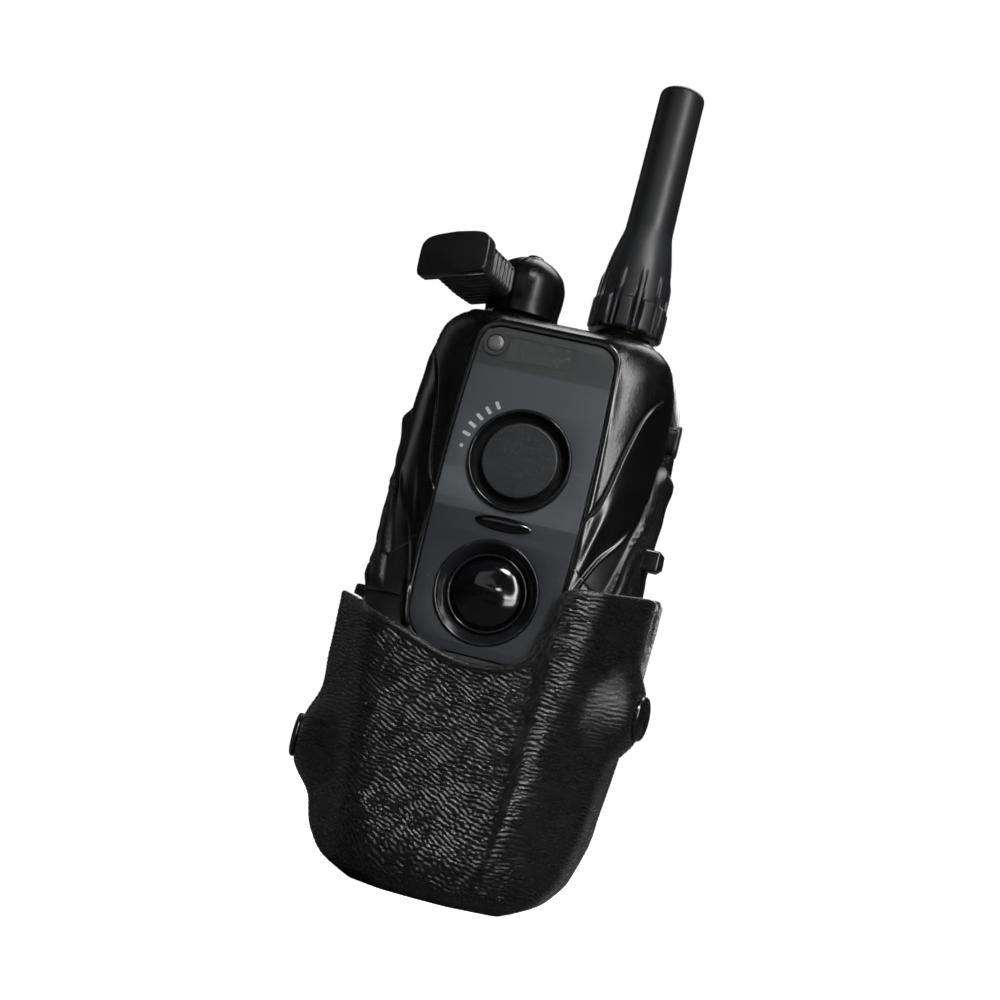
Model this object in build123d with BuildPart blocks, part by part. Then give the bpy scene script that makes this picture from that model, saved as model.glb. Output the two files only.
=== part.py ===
from build123d import *
from math import cos, radians, sin
import os

# Handheld radio transmitter with a pager button, standing in its moulded leather belt holster.
# Millimetres, +Z up along the antenna, the face plate looks towards -Y.
# Origin: on the holster's resting face, under the middle of the face plate.

os.makedirs("parts", exist_ok=True)

# ---------------------------------------------------------------- driving dimensions
body_top = 139.5            # flat top of the casing
wall = 2.0                  # casing wall
parting_y = 9.0             # plane where the front and rear casings meet
lip_y = -19.0               # crest of the raised lip round the face plate
plate_y = -18.5             # front of the face plate
plate_back_y = -16.9        # back of the face plate, on the casing's pocket floor
skin_back_y = -15.3         # inside of the casing wall behind the plate
far = 90.0                  # longer than anything that is cut

plate_top = 133.2
plate_bottom = 55.9
plate_top_half = 16.3
plate_mid_half = 17.4
plate_bottom_half = 16.0
plate_top_corner = 5.0
plate_bottom_corner = 9.4
plate_gap = 0.3

pager_z = 102.6             # middle of the pager button
lower_z = 70.9              # middle of the lower button
ridge_z = 87.2              # locator ridge between the two
led_x, led_z = -12.5, 129.0
window_x, window_z = -1.5, 128.4
window_wide, window_high = 15.4, 5.4

button_gap = 0.06           # running clearance round a button

dial_x, dial_y = -12.4, 1.5
antenna_x, antenna_y = 13.6, 1.5
antenna_bottom = 141.9
antenna_tip = 207.8

board_front_y = -8.6
board_back_y = -7.0
board_half = 19.0
board_bottom, board_top = 22.0, 130.0

side_button_y, side_button_z = -2.0, 88.7
side_switch_x = 24.6        # face of the switch behind the side button
charge_z = 118.5
grip_low, grip_high = 72.0, 113.0
grip_depth = 0.8
grip_front = -9.0           # front edge of the side grips
grip_clear = 1.2            # between a side grip and the parting plane
rib_pitch = 1.6             # of the lever's grip
loop_gap = 5.9              # what the belt goes through
loop_half = 16.5
loop_low, loop_high = 15.0, 90.0

leather = 2.8
holster_split_y = 7.0
holster_back_y = 22.4
snap_places = ((-1, 29.0, 34.8), (1, 52.0, 36.6))   # side of the holster, height, leather there
snap_turn = 10.0                            # degrees that each snap faces forward
rivet_places = [(x, z) for z in (21.0, 84.0) for x in (-11.0, 11.0)]

# Sections of the casing: height, half width, front Y, back Y, corner radius
casing_sections = (
    (3.2, 17.5, -13.5, 14.0, 8.0),
    (8.0, 23.0, -16.0, 16.5, 9.0),
    (18.0, 27.5, -17.6, 18.0, 10.0),
    (40.0, 30.3, plate_y, 18.5, 11.0),
    (70.0, 31.8, plate_y, 18.5, 11.0),
    (100.0, 32.5, plate_y, 18.5, 11.0),
    (116.0, 32.0, plate_y, 18.5, 11.0),
    (128.0, 29.8, plate_y, 18.5, 11.0),
    (136.0, 26.0, plate_y, 17.8, 9.5),
    (body_top, 21.5, -15.8, 15.0, 8.0),
)

# Sections of the holster's outside, up to above its highest edge
holster_sections = (
    (0.0, 18.5, -14.0, 16.0, 8.0),
    (3.0, 25.5, -18.0, 19.6, 10.0),
    (10.0, 30.8, -20.6, 21.6, 12.0),
    (20.0, 33.4, -21.9, holster_back_y, 13.0),
    (38.0, 35.2, -22.3, holster_back_y, 13.0),
    (60.0, 36.8, -22.3, holster_back_y, 13.0),
    (100.0, 38.0, -22.3, holster_back_y, 13.0),
)

# The holster's mouth, seen from the front and from the back: X, Z
front_mouth = (
    (-45.0, 67.0), (-31.8, 63.7), (-27.6, 61.6), (-17.1, 58.7), (-6.5, 55.4), (0.8, 54.3), (7.7, 55.1),
    (12.0, 56.8), (15.2, 59.8), (16.6, 64.4), (17.4, 70.0), (18.6, 74.4), (21.0, 76.0), (25.9, 77.0),
    (34.7, 79.0), (45.0, 81.5),
)
back_mouth = (
    (-45.0, 67.0), (-24.0, 71.0), (-19.0, 76.0), (-18.0, 88.0), (-13.0, 93.0),
    (13.0, 93.0), (18.0, 88.0), (20.0, 81.0), (26.0, 78.6), (45.0, 83.0),
)


# ---------------------------------------------------------------- building helpers
def loft_sections(sections, grow=0.0):
    """Loft rounded rectangles, grown or shrunk all round by one distance."""
    with BuildPart() as solid:
        for index, (height, half, front, back, radius) in enumerate(sections):
            end = {0: -grow, len(sections) - 1: grow}.get(index, 0.0)
            with BuildSketch(Plane((0, (front + back) / 2, height + end))):
                RectangleRounded(2 * (half + grow), back - front + 2 * grow, radius + grow)
        loft(ruled=True)
    return solid.part


def plate_outline(grow):
    """Barrel-sided outline of the face plate in XZ, grown all round."""
    middle = (plate_top + plate_bottom) / 2
    with BuildSketch(Plane.XZ) as outline:
        with BuildLine():
            Line((-plate_top_half, plate_top), (plate_top_half, plate_top))
            ThreePointArc((plate_top_half, plate_top), (plate_mid_half, middle),
                          (plate_bottom_half, plate_bottom))
            Line((plate_bottom_half, plate_bottom), (-plate_bottom_half, plate_bottom))
            ThreePointArc((-plate_bottom_half, plate_bottom), (-plate_mid_half, middle),
                          (-plate_top_half, plate_top))
        make_face()
        corners = outline.vertices().sort_by(Axis.Y)
        fillet(corners[:2], plate_bottom_corner)
        corners = outline.vertices().sort_by(Axis.Y)
        fillet(corners[-2:], plate_top_corner)
        if grow:
            offset(amount=grow)
    return outline.sketch


def slab_y(outline, front, back, mode=Mode.ADD):
    """Extrude an XZ outline from one Y to another, in the open part."""
    extrude(outline.moved(Location((0, front, 0))), amount=back - front, dir=(0, 1, 0), mode=mode)


def round_y(x, z, radius, front, back, mode=Mode.ADD):
    """A round bar along Y, in the open part."""
    with BuildSketch(Plane.XZ.offset(-front)) as section:
        with Locations((x, z)):
            Circle(radius)
    extrude(section.sketch, amount=front - back, mode=mode)


def round_z(x, y, radius, low, high, mode=Mode.ADD):
    """A round bar along Z, in the open part."""
    with BuildSketch(Plane.XY.offset(low)) as section:
        with Locations((x, y)):
            Circle(radius)
    extrude(section.sketch, amount=high - low, mode=mode)


def block(low, high, mode=Mode.ADD, corner=0.0):
    """A block between two corners, with its four Y edges rounded if asked."""
    size = [b - a for a, b in zip(low, high)]
    middle = [(a + b) / 2 for a, b in zip(low, high)]
    with BuildSketch(Plane.XZ.offset(-low[1])) as section:
        with Locations((middle[0], middle[2])):
            if corner:
                RectangleRounded(size[0], size[2], corner)
            else:
                Rectangle(size[0], size[2])
    extrude(section.sketch, amount=-size[1], mode=mode)


def slot_x(y, z, length, width, low, high, mode=Mode.ADD):
    """An upright oval bar along X, in the open part."""
    with BuildSketch(Plane.YZ.offset(low)) as section:
        with Locations((y, z)):
            SlotOverall(length, width, rotation=90)
    extrude(section.sketch, amount=high - low, mode=mode)


def ring_y(z, points, mode=Mode.ADD):
    """Revolve a profile of (radius, Y) points about the Y axis at one height, in the open part."""
    with BuildSketch(Plane((0, 0, z))) as section:
        with BuildLine():
            Polyline(*points, close=True)
        make_face()
    revolve(section.sketch, axis=Axis((0, 0, z), (0, 1, 0)), mode=mode)


def ring_z(x, y, points, mode=Mode.ADD):
    """Revolve a profile of (radius, Z) points about an upright axis, in the open part."""
    with BuildSketch(Plane((x, y, 0), x_dir=(1, 0, 0), z_dir=(0, -1, 0))) as section:
        with BuildLine():
            Polyline(*points, close=True)
        make_face()
    revolve(section.sketch, axis=Axis((x, y, 0), (0, 0, 1)), mode=mode)


def finish_part(part, name):
    """Label one piece and write its file."""
    part.label = name
    export_step(part, f"parts/{name}.step")


# ---------------------------------------------------------------- shared bodies
casing_outer = loft_sections(casing_sections)
casing_inner = loft_sections(casing_sections, -wall)
grip_outer = loft_sections(casing_sections, grip_depth)
grip_inner = loft_sections(casing_sections, -grip_depth)
gasket_outer = loft_sections(casing_sections, -0.6)
gasket_inner = loft_sections(casing_sections, -1.4)
holster_outer = loft_sections(holster_sections)
holster_inner = loft_sections(holster_sections, -leather)
plate_face = plate_outline(0.0)
pocket_face = plate_outline(plate_gap)
lip_face = plate_outline(2.0)

screw_places = [(x, z) for z in (30.0, 103.0) for x in (-20.0, 20.0)]
board_screw_places = [(x, z) for z in (26.0, 122.0) for x in (-15.5, 15.5)]
boss_front = {26.0: -16.4, 30.0: -16.4, 103.0: -16.75, 122.0: -16.75}   # each root is buried in the wall

# ---------------------------------------------------------------- casing
with BuildPart() as shell_gasket:
    add(gasket_outer)
    add(gasket_inner, mode=Mode.SUBTRACT)
    block((-far, parting_y - 0.4, -far), (far, parting_y + 0.4, 2 * far), mode=Mode.INTERSECT)

grips = {}
for grip_name, side in (("side_grip_left", -1), ("side_grip_right", 1)):
    with BuildPart() as side_grip:
        add(grip_outer)
        add(grip_inner, mode=Mode.SUBTRACT)
        near, out = sorted((side * 25.0, side * 40.0))
        block((near, grip_front, grip_low), (out, parting_y - grip_clear, grip_high), mode=Mode.INTERSECT)
        if side > 0:
            block((near, side_button_y - 2.9, side_button_z - 3.5),
                  (out, side_button_y + 2.9, side_button_z + 3.5), mode=Mode.SUBTRACT)
    grips[grip_name] = side_grip.part

with BuildPart() as front_shell:
    add(casing_outer)
    add(casing_inner, mode=Mode.SUBTRACT)
    block((-far, parting_y, -far), (far, far, 2 * far), mode=Mode.SUBTRACT)
    slab_y(lip_face, lip_y, skin_back_y)
    # Bosses for the case screws and for the board
    for x, z in screw_places:
        round_y(x, z, 3.2, boss_front[z], parting_y)
        round_y(x, z, 1.32, -8.0, parting_y, mode=Mode.SUBTRACT)
    for x, z in board_screw_places:
        round_y(x, z, 2.4, boss_front[z], board_front_y)
        round_y(x, z, 1.02, -13.5, board_front_y, mode=Mode.SUBTRACT)
    # Pocket for the face plate, with the openings behind it
    slab_y(pocket_face, lip_y, plate_back_y, mode=Mode.SUBTRACT)
    round_y(0, pager_z, 11.25, plate_back_y, skin_back_y + 3, mode=Mode.SUBTRACT)
    round_y(0, lower_z, 10.0, plate_back_y, skin_back_y + 3, mode=Mode.SUBTRACT)
    round_y(led_x, led_z, 2.15, plate_back_y, skin_back_y + 3, mode=Mode.SUBTRACT)
    block((window_x - 8, plate_back_y, window_z - 3.0),
          (window_x + 8, skin_back_y + 3, window_z + 3.0), mode=Mode.SUBTRACT)
    # Top openings for the level dial and the antenna socket
    round_z(dial_x, dial_y, 3.55, body_top - 6, body_top + 2, mode=Mode.SUBTRACT)
    round_z(antenna_x, antenna_y, 6.95, body_top - 6, body_top + 2, mode=Mode.SUBTRACT)
    # Side openings for the charging socket and the side button
    slot_x(0, charge_z, 6.8, 3.2, 26, 40, mode=Mode.SUBTRACT)
    block((26, side_button_y - 2.1, side_button_z - 2.7),
          (40, side_button_y + 2.1, side_button_z + 2.7), mode=Mode.SUBTRACT)
    add(shell_gasket.part, mode=Mode.SUBTRACT)
    for side_grip_part in grips.values():
        add(side_grip_part, mode=Mode.SUBTRACT)

with BuildPart() as rear_shell:
    add(casing_outer)
    add(casing_inner, mode=Mode.SUBTRACT)
    block((-far, -far, -far), (far, parting_y, 2 * far), mode=Mode.SUBTRACT)
    for x, z in screw_places:
        round_y(x, z, 3.9, parting_y, 16.6)
        round_y(x, z, 1.6, parting_y, far, mode=Mode.SUBTRACT)
        round_y(x, z, 2.8, 14.6, far, mode=Mode.SUBTRACT)
    add(shell_gasket.part, mode=Mode.SUBTRACT)

with BuildPart() as case_screws:
    for x, z in screw_places:
        round_y(x, z, 1.3, -6.0, 14.6)
        round_y(x, z, 2.5, 14.6, 16.4)
        block((x - 1.6, 15.6, z - 0.35), (x + 1.6, 16.4, z + 0.35), mode=Mode.SUBTRACT)
        block((x - 0.35, 15.6, z - 1.6), (x + 0.35, 16.4, z + 1.6), mode=Mode.SUBTRACT)

# ---------------------------------------------------------------- face plate and what it carries
with BuildPart() as face_plate:
    slab_y(plate_face, plate_y, plate_back_y)
    round_y(0, pager_z, 12.33, plate_y, plate_back_y, mode=Mode.SUBTRACT)
    round_y(0, lower_z, 12.43, plate_y, plate_back_y, mode=Mode.SUBTRACT)
    round_y(led_x, led_z, 2.15, plate_y, plate_back_y, mode=Mode.SUBTRACT)
    block((window_x - window_wide / 2, plate_y, window_z - window_high / 2),
          (window_x + window_wide / 2, plate_back_y, window_z + window_high / 2), mode=Mode.SUBTRACT)

with BuildPart() as display_window:
    block((window_x - window_wide / 2, plate_y, window_z - window_high / 2),
          (window_x + window_wide / 2, plate_back_y, window_z + window_high / 2))

with BuildPart() as lcd_module:
    block((window_x - 7.8, plate_back_y + 0.2, window_z - 2.9),
          (window_x + 7.8, skin_back_y + 1.0, window_z + 2.9))
    block((window_x - 8.6, skin_back_y + 1.0, window_z - 6.0),
          (window_x + 8.6, board_front_y, window_z + 1.6))

with BuildPart() as led_bezel:
    with BuildSketch(Plane.XZ.offset(-plate_y)):
        with Locations((led_x, led_z)):
            Circle(3.0)
        with Locations((led_x - 0.5, led_z + 1.0)):
            RectangleRounded(4.8, 4.4, 1.2)
    extrude(amount=0.45)
    round_y(led_x, led_z, 2.15, plate_y - 1, plate_y, mode=Mode.SUBTRACT)

with BuildPart() as led_lens:
    ring_y(0, ((0, -19.3), (1.1, -19.15), (1.8, -18.85), (2.1, -18.4), (2.1, -14.2), (0, -14.2)))
led_lens_part = led_lens.part.moved(Location((led_x, 0, led_z)))

with BuildPart() as pager_bezel:
    ring_y(pager_z, ((11.25, plate_back_y), (12.3, plate_back_y), (12.3, -19.15), (12.0, -19.4),
                     (11.55, -19.4), (11.25, -19.1)))

with BuildPart() as pager_boot:
    ring_y(pager_z, ((9.1 + button_gap, -15.0), (11.2, -15.0), (11.2, -18.0), (10.6, -17.2),
                     (9.7, -17.2), (9.1 + button_gap, -17.8)))

with BuildPart() as locator_ridge:
    with BuildSketch(Plane.XZ.offset(-plate_y)):
        with BuildLine():
            ThreePointArc((-7.0, ridge_z), (0, ridge_z + 1.75), (7.0, ridge_z))
            ThreePointArc((7.0, ridge_z), (0, ridge_z - 1.75), (-7.0, ridge_z))
        make_face()
    extrude(amount=1.1, taper=28)

with BuildPart() as lower_dish:
    ring_y(lower_z, ((12.4, -18.6), (12.4, plate_back_y), (9.95, plate_back_y), (9.95, skin_back_y),
                     (9.45, skin_back_y), (9.45, -16.4), (11.7, -18.9), (12.15, -18.9)))

with BuildPart() as lower_button_ring:
    ring_y(lower_z, ((8.7, skin_back_y), (9.4, skin_back_y), (9.4, -17.0), (9.2, -17.3),
                     (8.95, -17.3), (8.7, -17.0)))

# ---------------------------------------------------------------- buttons
with BuildPart() as pager_button:
    ring_y(pager_z, ((0, -18.85), (8.3, -18.95), (8.8, -18.85), (9.1, -18.5), (9.1, -14.8), (10.4, -14.8),
                     (10.4, -14.0), (2.5, -14.0), (2.5, -13.2), (0, -13.2)))

with BuildPart() as lower_button:
    with BuildSketch(Plane((0, 0, lower_z))):
        with BuildLine():
            crown = ThreePointArc((0, -19.4), (4.4, -18.75), (7.95, -17.0))
            Polyline(crown @ 1, (7.95, -15.1), (9.0, -15.1), (9.0, -14.4), (2.5, -14.4), (2.5, -13.4),
                     (0, -13.4), crown @ 0)
        make_face()
    revolve(axis=Axis((0, 0, lower_z), (0, 1, 0)))

with BuildPart() as side_button:
    block((28.0, side_button_y - 2.0, side_button_z - 2.6), (35.4, side_button_y + 2.0, side_button_z + 2.6))
    with BuildSketch(Plane.YZ.offset(35.4)):
        with Locations((side_button_y, side_button_z)):
            Rectangle(4.0, 5.2)
    extrude(amount=1.2, taper=38)
    block((28.0, side_button_y - 3.0, side_button_z - 3.6), (28.8, side_button_y + 3.0, side_button_z + 3.6))

with BuildPart() as charge_plug:
    slot_x(0, charge_z, 6.6, 3.0, 29.4, 32.2)
    slot_x(0, charge_z, 8.2, 4.4, 32.2, 33.3)
    fillet(charge_plug.faces().sort_by(Axis.X)[-1].edges(), 0.5)

# ---------------------------------------------------------------- electronics
with BuildPart() as main_board:
    block((-board_half, board_front_y, board_bottom), (board_half, board_back_y, board_top), corner=2.0)
    for x, z in board_screw_places:
        round_y(x, z, 1.1, board_front_y, board_back_y, mode=Mode.SUBTRACT)
    for x, z in screw_places:
        round_y(x, z, 3.5, board_front_y, board_back_y, mode=Mode.SUBTRACT)

with BuildPart() as board_screws:
    for x, z in board_screw_places:
        round_y(x, z, 1.0, -12.5, board_back_y)
        round_y(x, z, 1.9, board_back_y, board_back_y + 1.1)

with BuildPart() as button_switches:
    for z in (pager_z, lower_z):
        block((-3.0, -12.0, z - 3.0), (3.0, board_front_y, z + 3.0))
        round_y(0, z, 1.7, -12.3, -12.0)
    block((board_half, board_back_y - 1.6, side_button_z - 3.0),
          (side_switch_x, side_button_y + 2.4, side_button_z + 3.0))
    with BuildSketch(Plane.YZ.offset(side_switch_x)):
        with Locations((side_button_y, side_button_z)):
            Circle(1.5)
    extrude(amount=1.9)

with BuildPart() as radio_shield:
    block((-12.0, board_back_y, 88.0), (14.0, -4.4, 107.0), corner=1.0)
    block((-11.6, board_back_y, 88.4), (13.6, -4.7, 106.6), corner=0.8, mode=Mode.SUBTRACT)

with BuildPart() as sounder:
    round_y(-8.0, 115.0, 5.5, board_back_y, -3.6)
    round_y(-8.0, 115.0, 0.8, -5.0, -3.6, mode=Mode.SUBTRACT)

with BuildPart() as battery_pack:
    block((-15.5, -5.0, 24.0), (15.5, 11.0, 86.0), corner=3.0)
    fillet(battery_pack.edges().filter_by(Axis.Z), 2.5)

with BuildPart() as charge_jack:
    block((18.8, -5.0, charge_z - 5.0), (27.8, 5.0, charge_z + 5.0))
    slot_x(0, charge_z, 5.0, 1.8, 21.0, 27.8, mode=Mode.SUBTRACT)

# ---------------------------------------------------------------- level dial
with BuildPart() as dial_pot:
    round_z(dial_x, dial_y, 7.4, 126.0, 134.5)
    round_z(dial_x, dial_y, 3.5, 134.5, 142.0)
    round_z(dial_x, dial_y, 2.05, 128.0, 142.0, mode=Mode.SUBTRACT)

with BuildPart() as dial_nut:
    with BuildSketch(Plane((dial_x, dial_y, body_top))):
        RegularPolygon(5.4, 6)
        Circle(3.5, mode=Mode.SUBTRACT)
    extrude(amount=1.8)

with BuildPart() as dial_seal:
    ring_z(dial_x, dial_y, ((6.4, body_top), (7.6, body_top), (7.6, 140.3), (7.0, 140.6), (6.4, 140.3)))

with BuildPart() as dial_shaft:
    round_z(dial_x, dial_y, 2.0, 128.4, 151.0)

with BuildPart() as dial_hub:
    with BuildSketch(Plane((dial_x, dial_y, 0), x_dir=(1, 0, 0), z_dir=(0, -1, 0))):
        with BuildLine():
            Polyline((0, 151.0), (2.0, 151.0), (2.0, 143.0), (6.2, 143.0), (6.2, 140.8), (9.5, 140.8),
                     (9.1, 143.4), (9.35, 146.0), (9.35, 149.2), (8.9, 151.2), (8.0, 152.9), (6.6, 154.4),
                     (4.7, 155.7), (2.4, 156.7), (1.9, 157.6), (0, 157.6), close=True)
        make_face()
    revolve(axis=Axis((dial_x, dial_y, 0), (0, 0, 1)))

# The lever leaves the hub forwards and outwards, rising a little towards its end
lever_end = Vector(-27.8, -20.6, 148.4)
lever_back = Vector(0.368, 0.920, -0.100).normalized()
lever_side = Vector(0.926, -0.349, 0.141)
lever_side = (lever_side - lever_back * lever_side.dot(lever_back)).normalized()
lever_wide, lever_high, lever_long = 19.4, 11.0, 25.5
cap_long = 3.4


def lever_plane(distance):
    """Plane across the lever, at a distance back from its end face."""
    return Plane(origin=lever_end + lever_back * distance, x_dir=lever_side, z_dir=-lever_back)


def lever_bar(wide, high, corner, start, stop, mode=Mode.ADD):
    """A rounded bar along the lever between two distances from its end face."""
    with BuildSketch(lever_plane(start)) as section:
        RectangleRounded(wide, high, corner)
    extrude(section.sketch, amount=start - stop, mode=mode)


with BuildPart() as lever_cap:
    lever_bar(lever_wide, lever_high, 3.0, 0.0, cap_long)
    chamfer(lever_cap.faces().sort_by(Axis(lever_end, -lever_back))[-1].edges(), 0.5)

with BuildPart() as lever_arm:
    lever_bar(11.0, 5.6, 1.2, cap_long, lever_long)
    add(dial_hub.part, mode=Mode.SUBTRACT)
    round_z(dial_x, dial_y, 7.0, 140.0, 160.0, mode=Mode.SUBTRACT)

with BuildPart() as lever_grip:
    lever_bar(14.6, 8.0, 2.2, cap_long, 21.5)
    for rib in range(11):
        lever_bar(15.8, 9.2, 2.6, 4.0 + rib * rib_pitch, 4.8 + rib * rib_pitch)
    lever_bar(11.0, 5.6, 1.2, cap_long, 21.5, mode=Mode.SUBTRACT)
    round_z(dial_x, dial_y, 9.6, 140.0, 160.0, mode=Mode.SUBTRACT)

# ---------------------------------------------------------------- antenna
with BuildPart() as antenna_socket:
    ring_z(antenna_x, antenna_y, ((4.05, 129.0), (6.9, 129.0), (6.9, 141.6), (6.5, antenna_bottom - 0.05),
                                  (4.05, antenna_bottom - 0.05)))

with BuildPart() as antenna_stud:
    round_z(antenna_x, antenna_y, 4.0, 131.0, 147.0)
    round_z(antenna_x, antenna_y, 5.5, antenna_bottom, 143.4)

with BuildPart() as antenna_radiator:
    round_z(antenna_x, antenna_y, 2.2, 147.0, 200.0)
    round_z(antenna_x, antenna_y, 1.7, 149.0, 200.0, mode=Mode.SUBTRACT)

with BuildPart() as antenna_sleeve:
    with BuildSketch(Plane((antenna_x, antenna_y, 0), x_dir=(1, 0, 0), z_dir=(0, -1, 0))):
        with BuildLine():
            Polyline((0, antenna_bottom), (9.1, antenna_bottom), (9.5, 150.8), (8.7, 152.2), (8.5, 156.0))
            Polyline((8.5, 156.0), (8.2, 158.2), (7.3, 162.4), (6.4, 166.6), (6.0, 170.0), (5.8, 176.0),
                     (5.65, 203.2), (5.3, 205.0), (4.3, 206.5), (2.6, 207.4), (0, antenna_tip),
                     (0, antenna_bottom))
        make_face()
    revolve(axis=Axis((antenna_x, antenna_y, 0), (0, 0, 1)))
    round_z(antenna_x, antenna_y, 5.5, antenna_bottom, 143.4, mode=Mode.SUBTRACT)
    round_z(antenna_x, antenna_y, 4.0, antenna_bottom, 147.0, mode=Mode.SUBTRACT)
    round_z(antenna_x, antenna_y, 2.2, 147.0, 200.0, mode=Mode.SUBTRACT)
    # Finger notches round the skirt
    with BuildSketch(Plane.XY.offset(antenna_bottom)) as notches:
        with Locations((antenna_x, antenna_y)):
            with PolarLocations(9.9, 8):
                Circle(1.3)
    extrude(notches.sketch, amount=8.4, mode=Mode.SUBTRACT)

# ---------------------------------------------------------------- leather holster
def mouth_cutter(points):
    """Everything above a mouth line, as a face in XZ."""
    with BuildSketch(Plane.XZ) as cutter:
        with BuildLine():
            Polyline(*points, (45.0, 2 * far), (-45.0, 2 * far), close=True)
        make_face()
    return cutter.sketch


def snap_plane(place, out):
    """Plane across one side snap, at a distance out from the leather."""
    side, height, skin = place
    face = Vector(side * cos(radians(snap_turn)), -sin(radians(snap_turn)), 0)
    base = Vector(side * skin, -4.0, height)
    return Plane(origin=base + face * out, x_dir=(0, 0, 1), z_dir=face)


def snap_disc(place, radius, start, stop, mode=Mode.ADD, taper=0.0):
    """A round disc along one snap's axis."""
    with BuildSketch(snap_plane(place, start)) as section:
        Circle(radius)
    extrude(section.sketch, amount=stop - start, taper=taper, mode=mode)


front_cutter = mouth_cutter(front_mouth)
back_cutter = mouth_cutter(back_mouth)
boss_out = 3.2              # the leather swells out this far under each snap

with BuildPart() as holster_front:
    add(holster_outer)
    for place in snap_places:
        snap_disc(place, 9.0, -4.0, boss_out, taper=16)
    add(holster_inner, mode=Mode.SUBTRACT)
    block((-far, holster_split_y, -far), (far, far, 2 * far), mode=Mode.SUBTRACT)
    slab_y(front_cutter, -far, holster_split_y, mode=Mode.SUBTRACT)
    for place in snap_places:
        snap_disc(place, 1.5, -8.0, boss_out, mode=Mode.SUBTRACT)

with BuildPart() as holster_back:
    add(holster_outer)
    add(holster_inner, mode=Mode.SUBTRACT)
    block((-far, -far, -far), (far, holster_split_y, 2 * far), mode=Mode.SUBTRACT)
    slab_y(back_cutter, holster_split_y, far, mode=Mode.SUBTRACT)
    for x, z in rivet_places:
        round_y(x, z, 1.4, holster_split_y, far, mode=Mode.SUBTRACT)
        round_y(x, z, 3.3, holster_back_y - leather, holster_back_y - leather + 0.9, mode=Mode.SUBTRACT)

with BuildPart() as belt_loop:
    near, stand = holster_back_y, holster_back_y + loop_gap
    with BuildSketch(Plane.YZ.offset(-loop_half)):
        with BuildLine():
            Polyline((near, loop_low), (near + leather, loop_low), (near + leather, 26.6),
                     (stand + leather, 31.6), (stand + leather, 73.4), (near + leather, 78.4),
                     (near + leather, loop_high), (near, loop_high), (near, 77.2), (stand, 72.2),
                     (stand, 32.8), (near, 27.8), close=True)
        make_face()
    extrude(amount=2 * loop_half)
    for x, z in rivet_places:
        round_y(x, z, 1.4, near, far, mode=Mode.SUBTRACT)

with BuildPart() as loop_rivets:
    for x, z in rivet_places:
        round_y(x, z, 1.4, holster_back_y - leather, holster_back_y + leather)
        round_y(x, z, 3.2, holster_back_y - leather + 0.05, holster_back_y - leather + 0.9)
        round_y(x, z, 3.6, holster_back_y + leather, holster_back_y + leather + 1.0)

with BuildPart() as snap_caps:
    for place in snap_places:
        snap_disc(place, 5.4, boss_out, boss_out + 1.9, taper=20)

with BuildPart() as snap_studs:
    for place in snap_places:
        snap_disc(place, 1.5, -2.4, boss_out)
        snap_disc(place, 4.2, -3.0, -2.4)

with BuildPart() as holster_front_cut:
    add(holster_front.part)
    add(snap_studs.part, mode=Mode.SUBTRACT)

# ---------------------------------------------------------------- write every piece
pieces = {
    "holster_front": holster_front_cut.part, "holster_back": holster_back.part, "belt_loop": belt_loop.part,
    "loop_rivets": loop_rivets.part, "snap_caps": snap_caps.part, "snap_studs": snap_studs.part,
    "front_shell": front_shell.part, "rear_shell": rear_shell.part, "shell_gasket": shell_gasket.part,
    "case_screws": case_screws.part, "face_plate": face_plate.part, "display_window": display_window.part,
    "lcd_module": lcd_module.part, "led_bezel": led_bezel.part, "led_lens": led_lens_part,
    "pager_bezel": pager_bezel.part, "pager_boot": pager_boot.part, "locator_ridge": locator_ridge.part,
    "lower_dish": lower_dish.part, "lower_button_ring": lower_button_ring.part,
    "pager_button": pager_button.part, "lower_button": lower_button.part, "side_button": side_button.part,
    "charge_plug": charge_plug.part, "main_board": main_board.part, "board_screws": board_screws.part,
    "button_switches": button_switches.part, "radio_shield": radio_shield.part, "sounder": sounder.part,
    "battery_pack": battery_pack.part, "charge_jack": charge_jack.part, "dial_pot": dial_pot.part,
    "dial_nut": dial_nut.part, "dial_seal": dial_seal.part, "dial_shaft": dial_shaft.part,
    "dial_hub": dial_hub.part, "lever_arm": lever_arm.part, "lever_grip": lever_grip.part,
    "lever_cap": lever_cap.part, "antenna_socket": antenna_socket.part, "antenna_stud": antenna_stud.part,
    "antenna_radiator": antenna_radiator.part, "antenna_sleeve": antenna_sleeve.part, **grips,
}
for piece_name, piece in pieces.items():
    finish_part(piece, piece_name)
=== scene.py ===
"""Finished look of a handheld radio transmitter with a pager button, in its moulded leather belt holster."""

import itertools
import logging
import math
from dataclasses import dataclass, field
from enum import Enum
from typing import Callable, Sequence

import bmesh
import bpy
import numpy as np
from mathutils import Matrix, Vector


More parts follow.
